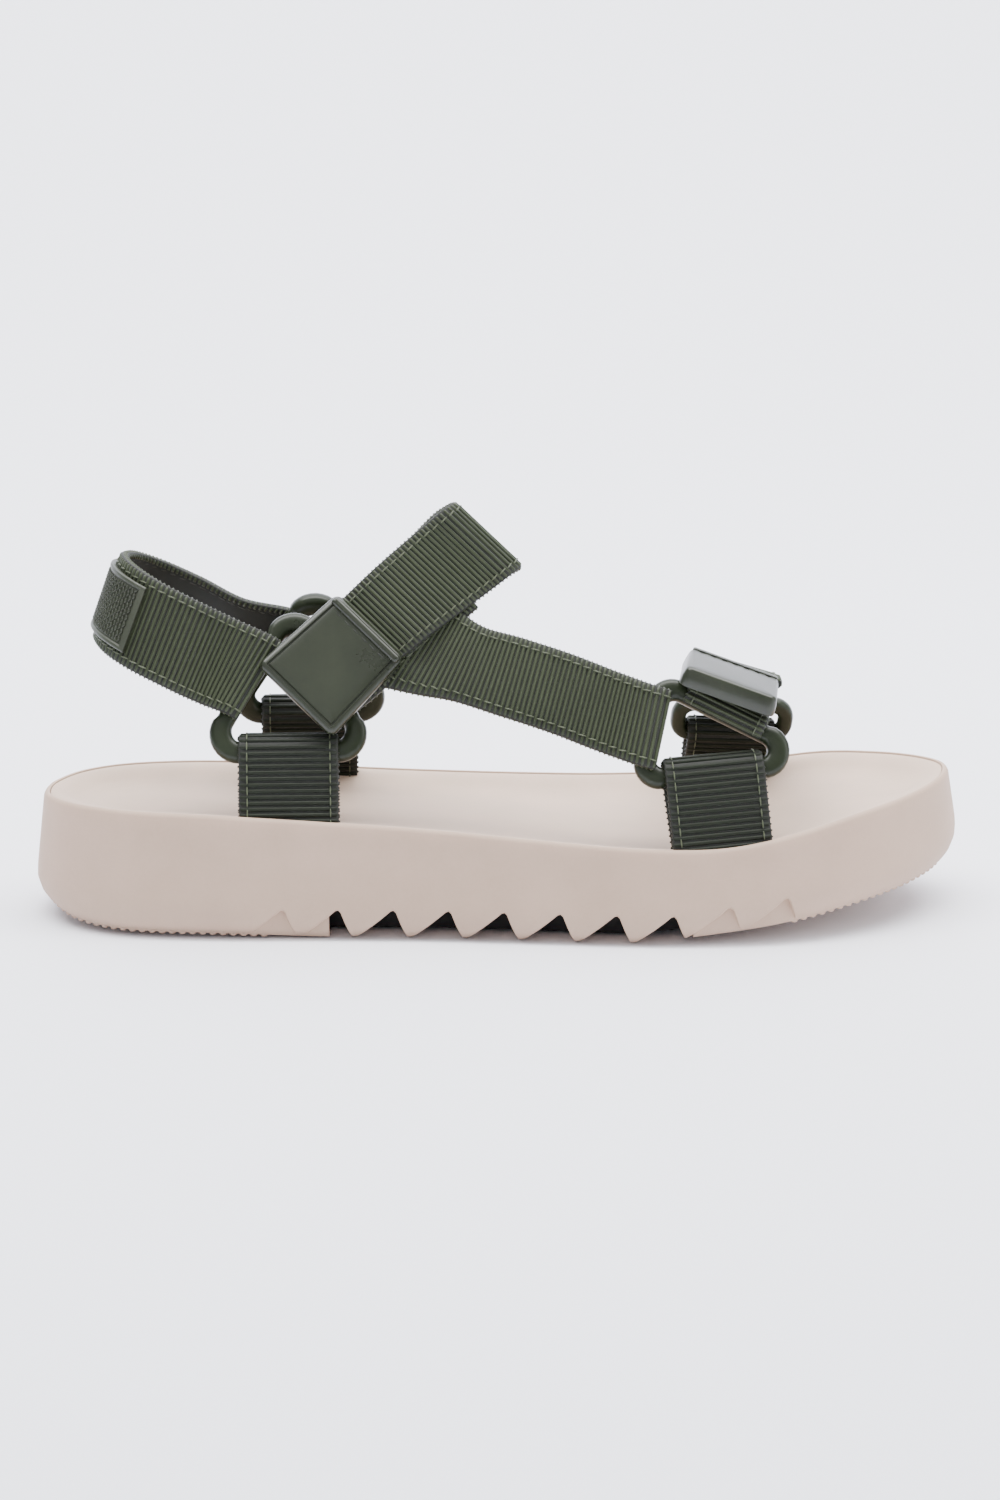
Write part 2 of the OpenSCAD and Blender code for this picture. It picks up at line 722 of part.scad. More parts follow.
// Toe base strap: round the lateral toe ring's slanted bar and in under the toe tab
toe_slant_bar = bar_point(LATERAL_TOE, TOE_CORNERS, 1, toe_corner_r);
toe_slant_dir = -bar_dir(LATERAL_TOE, TOE_CORNERS, 1);
toe_base_w = 20;
toe_base_t = 1.6;
toe_base_steps = 10;
toe_patch_t = 0.7;
toe_patch_gap = 0.03;
toe_patch_steps = 4;
TOE_BASE_ROWS = [
    concat(toe_slant_bar + [0.6, 2.2, 3.3], toe_slant_dir),
    concat([63.3, -20.5, 64.2], [0.92, -0.12, -0.37]),
    concat([65, -13, 64.9], [0.94, -0.04, -0.33]),
    concat([66.6, -6, 64.9], toe_across),
    concat([67.7, -0.5, 64.3], toe_across)
];
module toe_base_strap() {
    color(olive) union() {
        band(TOE_BASE_ROWS, 0, len(TOE_BASE_ROWS) - 1, toe_base_steps, toe_base_w, toe_base_t);
        wrap(LATERAL_TOE, TOE_CORNERS, 1, toe_corner_r, bar_r, toe_base_w);
    }
}

module toe_loop_patch() {
    color(dark_olive)
        band(TOE_BASE_ROWS, 2, 3.8, toe_patch_steps, toe_base_w - 4, toe_patch_t,
            -(toe_base_t + toe_patch_t) / 2 - toe_patch_gap);
}

module toe_hook_patch() {
    color(dark_olive)
        band(TOE_ROWS, 3.2, 4.6, toe_patch_steps, toe_base_w - 2, toe_patch_t,
            -(strap_t + toe_patch_t) / 2 - toe_patch_gap);
}

midsole();
footbed();
outsole_heel_pad();
outsole_toe_pad();
lateral_ankle_anchor();
medial_ankle_anchor();
lateral_toe_anchor();
medial_toe_anchor();
anchor_pins();
lateral_ankle_ring();
medial_ankle_ring();
lateral_toe_ring();
medial_toe_ring();
heel_strap();
heel_patch();
heel_strap_lateral_end();
heel_strap_medial_end();
ankle_base_strap();
side_strap();
ankle_loop_patch();
ankle_closure_strap();
ankle_flap_strap();
ankle_tab();
ankle_hook_patch();
toe_closure_strap();
toe_tab();
toe_hook_patch();
toe_base_strap();
toe_loop_patch();
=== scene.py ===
# %% [markdown]
# # A strappy sport sandal, one piece at a time
# The sandal is a thick moulded sole, four anchor straps that come up out of it, four plastic rings,
# and ribbed straps that are looped through the rings and close over the foot with two smooth tabs.
# Every piece is built in metres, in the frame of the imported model, so nothing is fitted afterwards.
# The lists of numbers below are in millimetres, as a shoemaker would write them, and are scaled once,
# when a mesh is made.

# %% Load the frame
import math

import bmesh
import bpy
import numpy as np
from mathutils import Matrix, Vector


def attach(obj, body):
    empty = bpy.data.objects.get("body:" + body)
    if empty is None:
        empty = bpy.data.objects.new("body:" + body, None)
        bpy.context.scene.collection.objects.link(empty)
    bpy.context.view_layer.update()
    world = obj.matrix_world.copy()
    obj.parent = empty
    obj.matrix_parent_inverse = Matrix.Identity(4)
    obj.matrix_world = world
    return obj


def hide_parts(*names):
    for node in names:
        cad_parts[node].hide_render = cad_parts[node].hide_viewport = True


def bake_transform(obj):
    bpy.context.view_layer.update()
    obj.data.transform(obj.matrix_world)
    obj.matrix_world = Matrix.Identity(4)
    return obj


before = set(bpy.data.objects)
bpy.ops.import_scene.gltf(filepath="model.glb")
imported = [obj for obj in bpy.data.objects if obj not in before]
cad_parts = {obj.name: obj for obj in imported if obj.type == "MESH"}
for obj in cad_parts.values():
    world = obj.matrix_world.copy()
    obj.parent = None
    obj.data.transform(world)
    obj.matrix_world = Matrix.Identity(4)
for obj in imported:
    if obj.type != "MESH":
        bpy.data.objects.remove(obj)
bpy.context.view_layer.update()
MM = 0.001

# %% [markdown]
# ## Camera, floor and light
# A product shot from the side: the camera stands about a metre off, a little above the sandal, with a
# long lens, so that the sole is seen nearly flat and a little of the footbed shows. Everything around
# the sandal is pale, and large soft lamps leave broad highlights on the smooth tabs.

# %% Camera
CAMERA_AIM = Vector((0, 0, 0.045))
CAMERA_AZIMUTH = math.radians(-3)
CAMERA_ELEVATION = math.radians(13)
CAMERA_DISTANCE = 0.95
CAMERA_LENS = 79.2
camera_data = bpy.data.cameras.new("camera")
camera_data.sensor_width = 36
camera_data.lens = CAMERA_LENS
camera = bpy.data.objects.new("camera", camera_data)
bpy.context.scene.collection.objects.link(camera)
camera_back = Vector((
    math.sin(CAMERA_AZIMUTH) * math.cos(CAMERA_ELEVATION),
    -math.cos(CAMERA_AZIMUTH) * math.cos(CAMERA_ELEVATION),
    math.sin(CAMERA_ELEVATION),
))
camera.location = CAMERA_AIM + camera_back * CAMERA_DISTANCE
camera.rotation_euler = (-camera_back).to_track_quat("-Z", "Y").to_euler()
bpy.context.scene.camera = camera
print("camera at", [round(x, 3) for x in camera.location])


# %% A short way to make a mesh
def new_object(name, points, faces, edges=()):
    """A mesh object at the origin from points in millimetres."""
    mesh = bpy.data.meshes.new(name)
    mesh.from_pydata([tuple(p) for p in np.asarray(points, float) * MM], list(edges), faces)
    made = bpy.data.objects.new(name, mesh)
    bpy.context.scene.collection.objects.link(made)
    return made


def band_faces(rows, n, wrap=False):
    """Faces between rows of n points that go round, and from the last row to the first with wrap."""
    return [
        (i * n + j, i * n + (j + 1) % n, (i + 1) % rows * n + (j + 1) % n, (i + 1) % rows * n + j)
        for i in range(rows if wrap else rows - 1) for j in range(n)
    ]


def tidy_shell(piece, crease=35, finish=None):
    """Merges doubles, turns the faces outwards, shades all but sharp edges smooth, and gives a finish."""
    cleaner = bmesh.new()
    cleaner.from_mesh(piece.data)
    bmesh.ops.remove_doubles(cleaner, verts=cleaner.verts, dist=0.00001)
    bmesh.ops.recalc_face_normals(cleaner, faces=cleaner.faces)
    cleaner.to_mesh(piece.data)
    cleaner.free()
    piece.data.shade_smooth()
    piece.data.set_sharp_from_angle(angle=math.radians(crease))
    if finish:
        piece.data.materials.append(finish)
    return piece


def stand_for(piece, body, *nodes):
    """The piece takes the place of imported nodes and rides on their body."""
    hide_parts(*nodes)
    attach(piece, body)


def unit(v):
    return np.asarray(v, float) / np.linalg.norm(v)


def unit_rows(rows):
    return rows / np.linalg.norm(rows, axis=1)[:, None]


# %% Floor and backdrop in one sweep
FLOOR_Z = -0.12
FLOOR_REACH = 9000
SWEEP_R = 500
SWEEP_TOP = 2500
sweep_profile = [(-FLOOR_REACH, FLOOR_Z), (SWEEP_R, FLOOR_Z)]
sweep_profile += [
    (SWEEP_R + SWEEP_R * math.sin(a), SWEEP_R - SWEEP_R * math.cos(a)) for a in np.linspace(0.1, 1.57, 16)
]
sweep_profile += [(2 * SWEEP_R, SWEEP_TOP)]
sweep_points = [(x, y, z) for x in (-FLOOR_REACH, FLOOR_REACH) for y, z in sweep_profile]
count = len(sweep_profile)
sweep_faces = [(i, i + count, i + count + 1, i + 1) for i in range(count - 1)]
floor = new_object("studio_sweep", sweep_points, sweep_faces)
floor.data.shade_smooth()


# %% Lamps
def area_lamp(name, place, aim, size, power):
    """A large soft square lamp at place, pointing at aim."""
    data = bpy.data.lights.new(name, "AREA")
    data.shape = "RECTANGLE"
    data.size, data.size_y = size
    data.energy = power
    lamp = bpy.data.objects.new(name, data)
    bpy.context.scene.collection.objects.link(lamp)
    lamp.location = place
    lamp.rotation_euler = (Vector(aim) - Vector(place)).to_track_quat("-Z", "Y").to_euler()


area_lamp("softbox_above", (0, 0.05, 1.25), (0, 0, 0), (2.0, 1.5), 40)
area_lamp("softbox_front", (-0.5, -1.5, 0.9), (0, 0, 0.05), (1.4, 1.0), 3)
area_lamp("softbox_right", (1.4, -0.5, 0.7), (0, 0, 0.05), (0.8, 1.0), 9)
area_lamp("backdrop_wash", (0, 0.0, 1.6), (0, 1.0, 0.4), (2.4, 0.6), 56)
world = bpy.data.worlds.new("studio")
world.use_nodes = True
world.node_tree.nodes["Background"].inputs["Color"].default_value = (0.86, 0.88, 0.93, 1)
world.node_tree.nodes["Background"].inputs["Strength"].default_value = 0.75
bpy.context.scene.world = world

# %% [markdown]
# ## Writing node trees as sums
# A finish is a little arithmetic on noise, and so is a rule for where ribs and stitches go. One small
# class wraps the output of a node, so that `1 - mask * 0.3` adds the Math nodes by itself. Any other
# node is made by one method, which works for material trees and for Geometry Nodes alike.


# %% Wires and trees
class Wire:
    """One output of a node. Sums and products of wires and numbers add Math nodes."""

    def __init__(self, tree, socket):
        self.tree = tree
        self.socket = socket

    def math(self, operation, first, second):
        return self.tree.node("ShaderNodeMath", {"operation": operation}, {0: first, 1: second})

    def __add__(self, other):
        return self.math("ADD", self, other)

    def __sub__(self, other):
        return self.math("SUBTRACT", self, other)

    def __rsub__(self, other):
        return self.math("SUBTRACT", other, self)

    def __mul__(self, other):
        return self.math("MULTIPLY", self, other)

    def __truediv__(self, other):
        return self.math("DIVIDE", self, other)

    __radd__ = __add__
    __rmul__ = __mul__


class Tree:
    """A node tree that is written from the script."""

    def __init__(self, tree):
        self.tree = tree

    def feed(self, socket, value):
        """Links a wire to a socket, or sets the socket's own value."""
        if isinstance(value, Wire):
            self.tree.links.new(value.socket, socket)
        else:
            socket.default_value = value

    def node(self, kind, settings=None, inputs=None, output=None):
        """Adds a node: its settings first, then the values or links of its sockets."""
        made = self.tree.nodes.new(kind)
        for key, value in (settings or {}).items():
            if key == "stops":
                for stop, (position, colour) in zip(made.color_ramp.elements, value):
                    stop.position = position
                    stop.color = colour
            else:
                setattr(made, key, value)
        for key, value in (inputs or {}).items():
            if isinstance(key, int):
                socket = made.inputs[key]
            else:
                socket = next(s for s in made.inputs if s.name == key and s.enabled)
            for item in value if isinstance(value, list) else [value]:
                self.feed(socket, item)
        live = [s for s in made.outputs if s.enabled]
        return Wire(self, next((s for s in live if s.name == output), live[0]))


# %% [markdown]
# ## The finishes
# The whole sandal is moulded, so every finish is one plastic with a fine grain: a matt foam for the
# sole, a soft olive plastic for the ribbed straps, and the same olive polished for tabs and rings.
# Each one has slow colour variation and a grain in the normal, at its real scale.


# %% A moulded finish
def moulded(name, dark, light, roughness, grain, grain_height, patch=60, **sockets):
    """A moulded plastic: its colour drifts between dark and light, and its grain is grain metres wide."""
    material = bpy.data.materials.new(name)
    material.use_nodes = True
    material.diffuse_color = (*light, 1)
    tree = Tree(material.node_tree)
    surface = material.node_tree.nodes["Principled BSDF"]
    for key, value in sockets.items():
        surface.inputs[key.replace("_", " ")].default_value = value
    place = tree.node("ShaderNodeTexCoord", output="Object")
    drift = tree.node("ShaderNodeTexNoise", {}, {"Vector": place, "Scale": patch, "Detail": 3.0}, "Fac")
    fine = tree.node("ShaderNodeTexNoise", {}, {"Vector": place, "Scale": 1 / grain, "Detail": 4.0}, "Fac")
    mask = drift * 0.75 + fine * 0.25
    colour = tree.node(
        "ShaderNodeValToRGB", {"stops": [(0.3, (*dark, 1)), (0.7, (*light, 1))]}, {"Fac": mask}, "Color"
    )
    bump = tree.node(
        "ShaderNodeBump", {}, {"Strength": 1.0, "Distance": grain_height, "Height": fine}, "Normal"
    )
    tree.feed(surface.inputs["Base Color"], colour)
    tree.feed(surface.inputs["Roughness"], roughness - 0.08 + mask * 0.16)
    tree.feed(surface.inputs["Normal"], bump)
    return material


# %% The palette
SOLE = moulded("sole_foam", (0.42, 0.295, 0.222), (0.47, 0.334, 0.253), 0.62, 0.0009, 0.00003)
FOOTBED = moulded("footbed_foam", (0.495, 0.37, 0.285), (0.555, 0.415, 0.325), 0.66, 0.0007, 0.00004)
STRAP = moulded("ribbed_strap", (0.0215, 0.028, 0.0115), (0.031, 0.040, 0.017), 0.46, 0.0006, 0.00004,
                Specular_IOR_Level=0.35)
# The strap plastic at about a third of its brightness: painted shade on the anchors, which face front and
# down.
SHADED_ANCHOR_FINISH = moulded("ribbed_anchor", (0.006, 0.0085, 0.004), (0.009, 0.0125, 0.006), 0.5, 0.0006, 0.00004,
                 Specular_IOR_Level=0.2)
# A near-black copy of the strap plastic for the core between the ribs: painted shade between the ribs.
RIB_GAP_SHADE = moulded("strap_between_ribs", (0.004, 0.005, 0.0025), (0.006, 0.0075, 0.004), 0.7, 0.0005, 0.00002)
# A lighter copy of the strap plastic for the raised stitch lines: painted highlight where the ridges catch
# the light.
LIT_STITCH_FINISH = moulded("raised_stitch", (0.055, 0.066, 0.034), (0.07, 0.083, 0.044), 0.5, 0.0005, 0.00002)
# A near-black copy of the strap plastic for sunk stitches, dashes and slots: painted shade in the recesses.
SUNK_STITCH_SHADE = moulded("sunk_stitch", (0.010, 0.012, 0.008), (0.014, 0.016, 0.010), 0.6, 0.0005, 0.00002)
TAB = moulded("smooth_tab", (0.013, 0.016, 0.0085), (0.019, 0.023, 0.0125), 0.30, 0.0012, 0.000004,
              Coat_Weight=0.06, Coat_Roughness=0.25, Specular_IOR_Level=0.4)
RING = moulded("ring_plastic", (0.013, 0.017, 0.0085), (0.018, 0.0235, 0.012), 0.3, 0.001, 0.000002,
               Coat_Weight=0.05, Coat_Roughness=0.2, Specular_IOR_Level=0.22)
PILE = moulded("hook_and_loop", (0.016, 0.018, 0.012), (0.026, 0.029, 0.02), 0.85, 0.0006, 0.00008)
PANEL = moulded("heel_badge", (0.022, 0.026, 0.015), (0.03, 0.035, 0.02), 0.44, 0.0005, 0.00002)
# A near-black finish for the block inside the open grooves: painted shadow under the sole.
GROOVE_SHADOW_FINISH = moulded("groove_core", (0.012, 0.012, 0.013), (0.016, 0.016, 0.018), 0.9, 0.001, 0.00001)
STAGE = moulded("studio_paper", (0.86, 0.87, 0.93), (0.87, 0.88, 0.94), 0.9, 0.002, 0.00001, patch=1)
floor.data.materials.append(STAGE)
print("finishes:", len(bpy.data.materials))

# %% [markdown]
# ## The sole
# The side of a last is one smooth curve, so the outline, the rim's height and the underside's height
# are five numbers at fifteen places along the foot, with a Catmull-Rom curve through them. The sole is
# then a stack of rings. Each ring is the outline moved out or in, and the lowest one follows the teeth.

# %% Along the sole: x, lateral edge y, medial edge y, height of the rim, height of the underside
LAST = np.array([
    [-130, 0, 0, 35.2, 5.4], [-128, -10, 10.5, 35.4, 4], [-120, -21.5, 22, 35.8, 2],
    [-105, -30.2, 30, 35.8, 1.2], [-80, -34.5, 34, 35.1, 1], [-50, -36, 34.5, 33.2, 0],
    [-20, -38.5, 36, 31.2, 0], [10, -43, 40.5, 28.9, 0], [35, -46.8, 45, 27.3, 0],
    [58, -48, 48, 27.2, 2.6], [78, -46, 47, 30.2, 5.2], [98, -38.5, 40, 34.4, 8.6],
    [114, -27, 29, 36.7, 10.8], [125.5, -12, 16.5, 38, 12.6], [130, 4, 4, 38.4, 14.6],
], float)
SWAP = [0, 2, 1, 3, 4]


def curve_through(rows, s):
    """Catmull-Rom curve through rows, which hold one extra row at each end; s counts rows from 0."""
    s = np.asarray(s, float)
    i = np.clip(np.floor(s).astype(int), 0, len(rows) - 4)
    t = (s - i)[:, None]
    a, b, c, d = rows[i], rows[i + 1], rows[i + 2], rows[i + 3]
    return 0.5 * (
        2 * b + (c - a) * t + (2 * a - 5 * b + 4 * c - d) * t**2 + (3 * b - a - 3 * c + d) * t**3
    )


last_rows = np.vstack([LAST[1][SWAP], LAST, LAST[-2][SWAP]])
fine_s = np.linspace(0, len(LAST) - 1, 2001)
fine_last = curve_through(last_rows, fine_s)


def rim_z(x):
    return np.interp(x, fine_last[:, 0], fine_last[:, 3])


def under_z(x):
    return np.interp(x, fine_last[:, 0], fine_last[:, 4])


# %% The teeth
FIRST_TIP = -42.8
PITCH = 15.45
TOOTH_H = 8.6
TOOTH = [(0.5, 0), (PITCH - 6, TOOTH_H - 1.1), (PITCH - 5, TOOTH_H - 0.2), (PITCH - 4.2, TOOTH_H),
         (PITCH - 3.5, TOOTH_H - 0.7), (PITCH - 0.5, 0)]
OPEN_GAPS = 6
GAP_LIFT = {OPEN_GAPS: 2.4, OPEN_GAPS + 1: 4.4}


def gap_z(x):
    """Height of the outsole's edge at x: the underside, or the gap between two teeth where it is higher."""
    height = under_z(x)
    for k in range(-2, OPEN_GAPS + 2):
        along = x - FIRST_TIP - k * PITCH
        cut = np.interp(along, [p[0] for p in TOOTH], [p[1] for p in TOOTH], left=-50, right=-50)
        height = np.maximum(height, cut + GAP_LIFT.get(k, 0))
    return height


# %% The outline, with a point at each corner of a tooth
tooth_corners = [FIRST_TIP + k * PITCH + p[0] for k in range(-2, OPEN_GAPS + 2) for p in TOOTH]
tooth_corners += [x + 0.15 for x in tooth_corners]
even_x = np.concatenate([np.arange(-116, 117, 0.8), tooth_corners])
tips_s = fine_s[(fine_last[:, 0] < -116) | (fine_last[:, 0] > 116)][::6]
edge_s = np.unique(np.concatenate([np.interp(even_x, fine_last[:, 0], fine_s), tips_s, [fine_s[-1]]]))
stations = curve_through(last_rows, edge_s)
outline = np.vstack([stations[:, [0, 1]], stations[-2:0:-1][:, [0, 2]]])
run = unit_rows(np.roll(outline, -1, axis=0) - np.roll(outline, 1, axis=0))
outward = np.stack([run[:, 1], -run[:, 0]], axis=1)
edge_x = outline[:, 0]
edge_rim = rim_z(edge_x)
SPINE_ENDS = (-104, 98)
spine_x = np.clip(edge_x, *SPINE_ENDS)
spine_y = np.interp(spine_x, stations[:, 0], (stations[:, 1] + stations[:, 2]) / 2)
spine = np.stack([spine_x, spine_y], axis=1)
print("outline points:", len(outline))


# %% Rings of the sole
def ring_at(offset, z):
    """The outline moved out by offset, at heights z."""
    return np.column_stack([outline + outward * np.broadcast_to(offset, len(outline))[:, None], z])


def ring_inside(ring, share, z_of):
    """A ring moved a share of the way to the spine, at heights z_of(x, depth below the start)."""
    flat = ring[:, :2] + (spine - ring[:, :2]) * share
    depth = np.linalg.norm(flat - outline, axis=1)
    return np.column_stack([flat, z_of(flat[:, 0], depth)])


def shell(name, rings, finish):
    """A closed skin through rings, from the first to the last, which both end on the spine."""
    faces = band_faces(len(rings), len(rings[0]))
    return tidy_shell(new_object(name, np.vstack(rings), faces), finish=finish)


WALL_HEIGHTS = [0, 0.6, 2, 4, 6, 9]
WALL_OFFSETS = [-1.6, 0.2, 1.7, 2.8, 3.2, 3.05]
TOP_OFFSET = 0.75
wall_top = edge_rim - 1.2


def wall_offset(z):
    """How far the side wall stands out from the outline at height z: a rounded lower edge, then straight."""
    low = np.interp(z - under_z(edge_x), WALL_HEIGHTS, WALL_OFFSETS)
    straight = under_z(edge_x) + WALL_HEIGHTS[-1]
    share = np.clip((z - straight) / (wall_top - straight), 0, 1)
    return low + (TOP_OFFSET - low) * share


# %% Midsole: underside, toothed wall, rounded rim and the recess for the footbed
EDGE_ROUND = 0.7
EDGE_RISES = (0, 0.12, 0.35, 0.7, 1.6, 3)
RECESS = 6
RIM_PROFILE = [
    (0.4, 0.55), (-0.05, 0.1), (-0.5, 0), (-0.95, 0.1), (-1.15, 0.6), (-1.2, 1.4), (-3.6, 2), (-3.6, RECESS),
]
low_edge = gap_z(edge_x)
side_rings = []
for rise in EDGE_RISES:
    tuck = EDGE_ROUND * (1 - min(rise / EDGE_ROUND, 1)) ** 2
    side_rings.append(ring_at(wall_offset(low_edge + rise) - tuck, low_edge + rise))
for share in np.linspace(0, 1, 10)[1:]:
    z = (low_edge + EDGE_RISES[-1]) + (wall_top - low_edge - EDGE_RISES[-1]) * share
    side_rings.append(ring_at(wall_offset(z), z))
for offset, drop in RIM_PROFILE:
    side_rings.append(ring_at(offset, edge_rim - drop))
floor_rings = [ring_inside(side_rings[0], share, lambda x, d: gap_z(x)) for share in (1, 0.7, 0.4, 0.15)]
recess_rings = [ring_inside(side_rings[-1], share, lambda x, d: rim_z(x) - RECESS) for share in (0.5, 1)]
midsole = shell("sole_body", floor_rings + side_rings + recess_rings, SOLE)

# %% Footbed: dished, with a soft lip against the rim
DISH_EDGE = [1.2, 2, 4, 6, 9, 13, 18, 26]
DISH_DEPTH = [0.45, 0.3, 0.7, 1.5, 2.9, 3.8, 4.1, 4.2]


def dish_z(x, depth):
    return rim_z(x) - np.interp(depth, DISH_EDGE, DISH_DEPTH)


lip = ring_at(-1.25, edge_rim - 0.45)
under_lip = [ring_at(-1.25, edge_rim - 1.1), ring_at(-3.5, edge_rim - 1.6)]
SEAT = RECESS - 0.1
seat = ring_at(-3.55, edge_rim - SEAT)
dish_rings = [ring_inside(lip, share, dish_z) for share in np.linspace(0, 1, 22) ** 1.3]
base_rings = [ring_inside(seat, share, lambda x, d: rim_z(x) - SEAT) for share in (1, 0.5)]
footbed = shell("footbed_top", base_rings + [seat] + under_lip[::-1] + dish_rings, FOOTBED)


# %% Pads inside the wall: treads behind the closed teeth, and a near-black block of painted shadow that closes the open grooves off
PAD_LEVELS = ((-4, -0.1), (0.2, 0.5), (1.0, 2.4), (0.6, 9))
SHADOW_BLOCK_LEVELS = ((-9, 0.8), (-9, 9.5))


def pad(name, x_from, x_to, levels, finish):
    """A pad between two places along the sole, with levels of (offset from the outline, rise)."""
    inside = (edge_x > x_from) & (edge_x < x_to)
    rings = [ring_at(offset, under_z(edge_x) + rise)[inside] for offset, rise in levels]
    n = inside.sum()
    faces = band_faces(len(rings), n)
    for base in (0, (len(rings) - 1) * n):
        faces += [(base + j, base + j + 1, base + n - 2 - j, base + n - 1 - j) for j in range(n // 2 - 1)]
    return tidy_shell(new_object(name, np.vstack(rings), faces), finish=finish)


heel_tread = pad("heel_tread", -118, -49, PAD_LEVELS, SOLE)
toe_tread = pad("toe_tread", 50.8, 116, PAD_LEVELS, SOLE)
# The near-black block inside the open grooves is painted shadow.
core = pad("groove_core", -56, 56, SHADOW_BLOCK_LEVELS, GROOVE_SHADOW_FINISH)
print("sole:", [len(o.data.polygons) for o in (midsole, footbed, heel_tread, toe_tread)])

# %% [markdown]
# ## Rings
# Each ring is a plastic triangle or rectangle with round corners, held in a wall that leans in over the
# foot. The bars are round, and the corners are a little wider, as moulded rings are where they take the
# load. A ring is swept by hand: a section goes round a path of arcs and straight bars.

# %% Walls: side, y and z of the foot of the wall, lean
STRAP_T = 2.2
LOOP_T = 1.9
LOOP_GAP = 0.5
BAR_R = 2.6
SMALL_BAR_R = 2.3
LATERAL_ANKLE = (-1, 31, 33.5, 25)
MEDIAL_ANKLE = (1, 30, 34, 20)
LATERAL_TOE = (-1, 43.5, 27.5, 25)
MEDIAL_TOE = (1, 42, 28.6, 25)


def on_wall(wall, x, u, v=0.0):
    """The point at x along the wall, u up it and v out from it."""
    side, y, z, lean = wall
    s, c = math.sin(math.radians(lean)), math.cos(math.radians(lean))
    return np.array([x, side * (y - u * s + v * c), z + u * c + v * s])


def wall_dir(wall, angle):
    """The direction in the wall at angle above +X."""
    a = math.radians(angle)
    return on_wall(wall, math.cos(a), math.sin(a)) - on_wall(wall, 0, 0)


def wall_out(wall):
    return on_wall(wall, 0, 0, 1) - on_wall(wall, 0, 0)


# %% Ring corners: centres of the round corners in the wall, anticlockwise from the lower back one
ANKLE_CORNERS = [(-72.85, 24.75), (-48.05, 24.75), (-58.6, 48.85)]
MEDIAL_ANKLE_CORNERS = [(x + 5.8, u) for x, u in ANKLE_CORNERS]
TOE_CORNERS = [(43.9, 24.1), (70.4, 26.4), (47.4, 38.4)]
tilt = math.radians(-3)
SMALL_CORNERS = [
    (71.1 + x * math.cos(tilt) - u * math.sin(tilt), 19.2 + x * math.sin(tilt) + u * math.cos(tilt))
    for x, u in ((-11.6, -1), (11.6, -1), (11.6, 1), (-11.6, 1))
]


class Ring:
    """A ring in its wall. Bar i runs from corner i to the next one."""

    def __init__(self, wall, corners, corner_r, bar_r, lobe):
        self.wall = wall
        self.lobe = lobe
        self.corners = np.array(corners)
        self.corner_r = corner_r
        self.bar_r = bar_r

    def edge(self, i):
        return self.corners[(i + 1) % len(self.corners)] - self.corners[i % len(self.corners)]

    def angle(self, i):
        return math.degrees(math.atan2(self.edge(i)[1], self.edge(i)[0]))

    def bar(self, i):
        """The middle of bar i in space."""
        along = unit(self.edge(i))
        place = self.corners[i] + self.edge(i) / 2 + np.array([along[1], -along[0]]) * self.corner_r
        return on_wall(self.wall, *place)

    def centre(self):
        return on_wall(self.wall, *self.corners.mean(axis=0))

    def path(self):
        """Points, inward normals and how far into a corner each point is, round the ring."""
        points, normals, corner = [], [], []
        for i in range(len(self.corners)):
            start, turn = self.angle(i - 1) - 90, (self.angle(i) - self.angle(i - 1)) % 360
            for share in np.linspace(0, 1, 13):
                a = math.radians(start + turn * share)
                ray = np.array([math.cos(a), math.sin(a)])
                points.append(self.corners[i] + ray * self.corner_r)
                normals.append(ray)
                corner.append(math.sin(math.pi * share) ** 0.5 if 0 < share < 1 else 0)
            for share in (0.25, 0.5, 0.75):
                points.append(points[-1] + self.edge(i) * 0.25)
                normals.append(normals[-1])
                corner.append(0)
        return np.array(points), np.array(normals), np.array(corner)


def ring_piece(name, ring):
    """The ring as a swept mesh: a round section that widens in the corners."""
    points, normals, corner = ring.path()
    section = np.linspace(0, 2 * math.pi, 20, endpoint=False)
    rows = []
    for point, normal, c in zip(points, normals, corner):
        wide = ring.bar_r + ring.lobe * c
        for a in section:
            reach = np.sign(math.cos(a)) * abs(math.cos(a)) ** 0.7 * wide + ring.lobe * c
            lift = np.sign(math.sin(a)) * abs(math.sin(a)) ** 0.8 * ring.bar_r * 0.98
            rows.append(on_wall(ring.wall, *(point + normal * reach), lift))
    faces = band_faces(len(points), len(section), wrap=True)
    return tidy_shell(new_object(name, rows, faces), 60, RING)


LOBE = 0.65
lateral_ankle = Ring(LATERAL_ANKLE, ANKLE_CORNERS, 6, BAR_R, LOBE)
medial_ankle = Ring(MEDIAL_ANKLE, MEDIAL_ANKLE_CORNERS, 6, BAR_R, LOBE)
lateral_toe = Ring(LATERAL_TOE, TOE_CORNERS, 5, BAR_R, LOBE)
medial_toe = Ring(MEDIAL_TOE, SMALL_CORNERS, 4.5, SMALL_BAR_R, 0)
RINGS = {
    "lateral_ankle": (lateral_ankle, "lateral_side"), "medial_ankle": (medial_ankle, "medial_ankle_side"),
    "lateral_toe": (lateral_toe, "lateral_side"), "medial_toe": (medial_toe, "medial_toe_side"),
}
for name, (ring, body) in RINGS.items():
    stand_for(ring_piece(name + "_loop", ring), body, name + "_ring")
print("rings:", list(RINGS))

# %% [markdown]
# ## A strap's path
# A strap is a ruled band: at each place along it there is a middle point and a straight line across. A
# seventh number in a row, where there is one, makes the strap wider or narrower there.
# Its end passes over the outside of a ring's bar and turns down round it, so the last rows of a path
# are worked out from the bar. The rest are listed, in the same places as the imported straps.


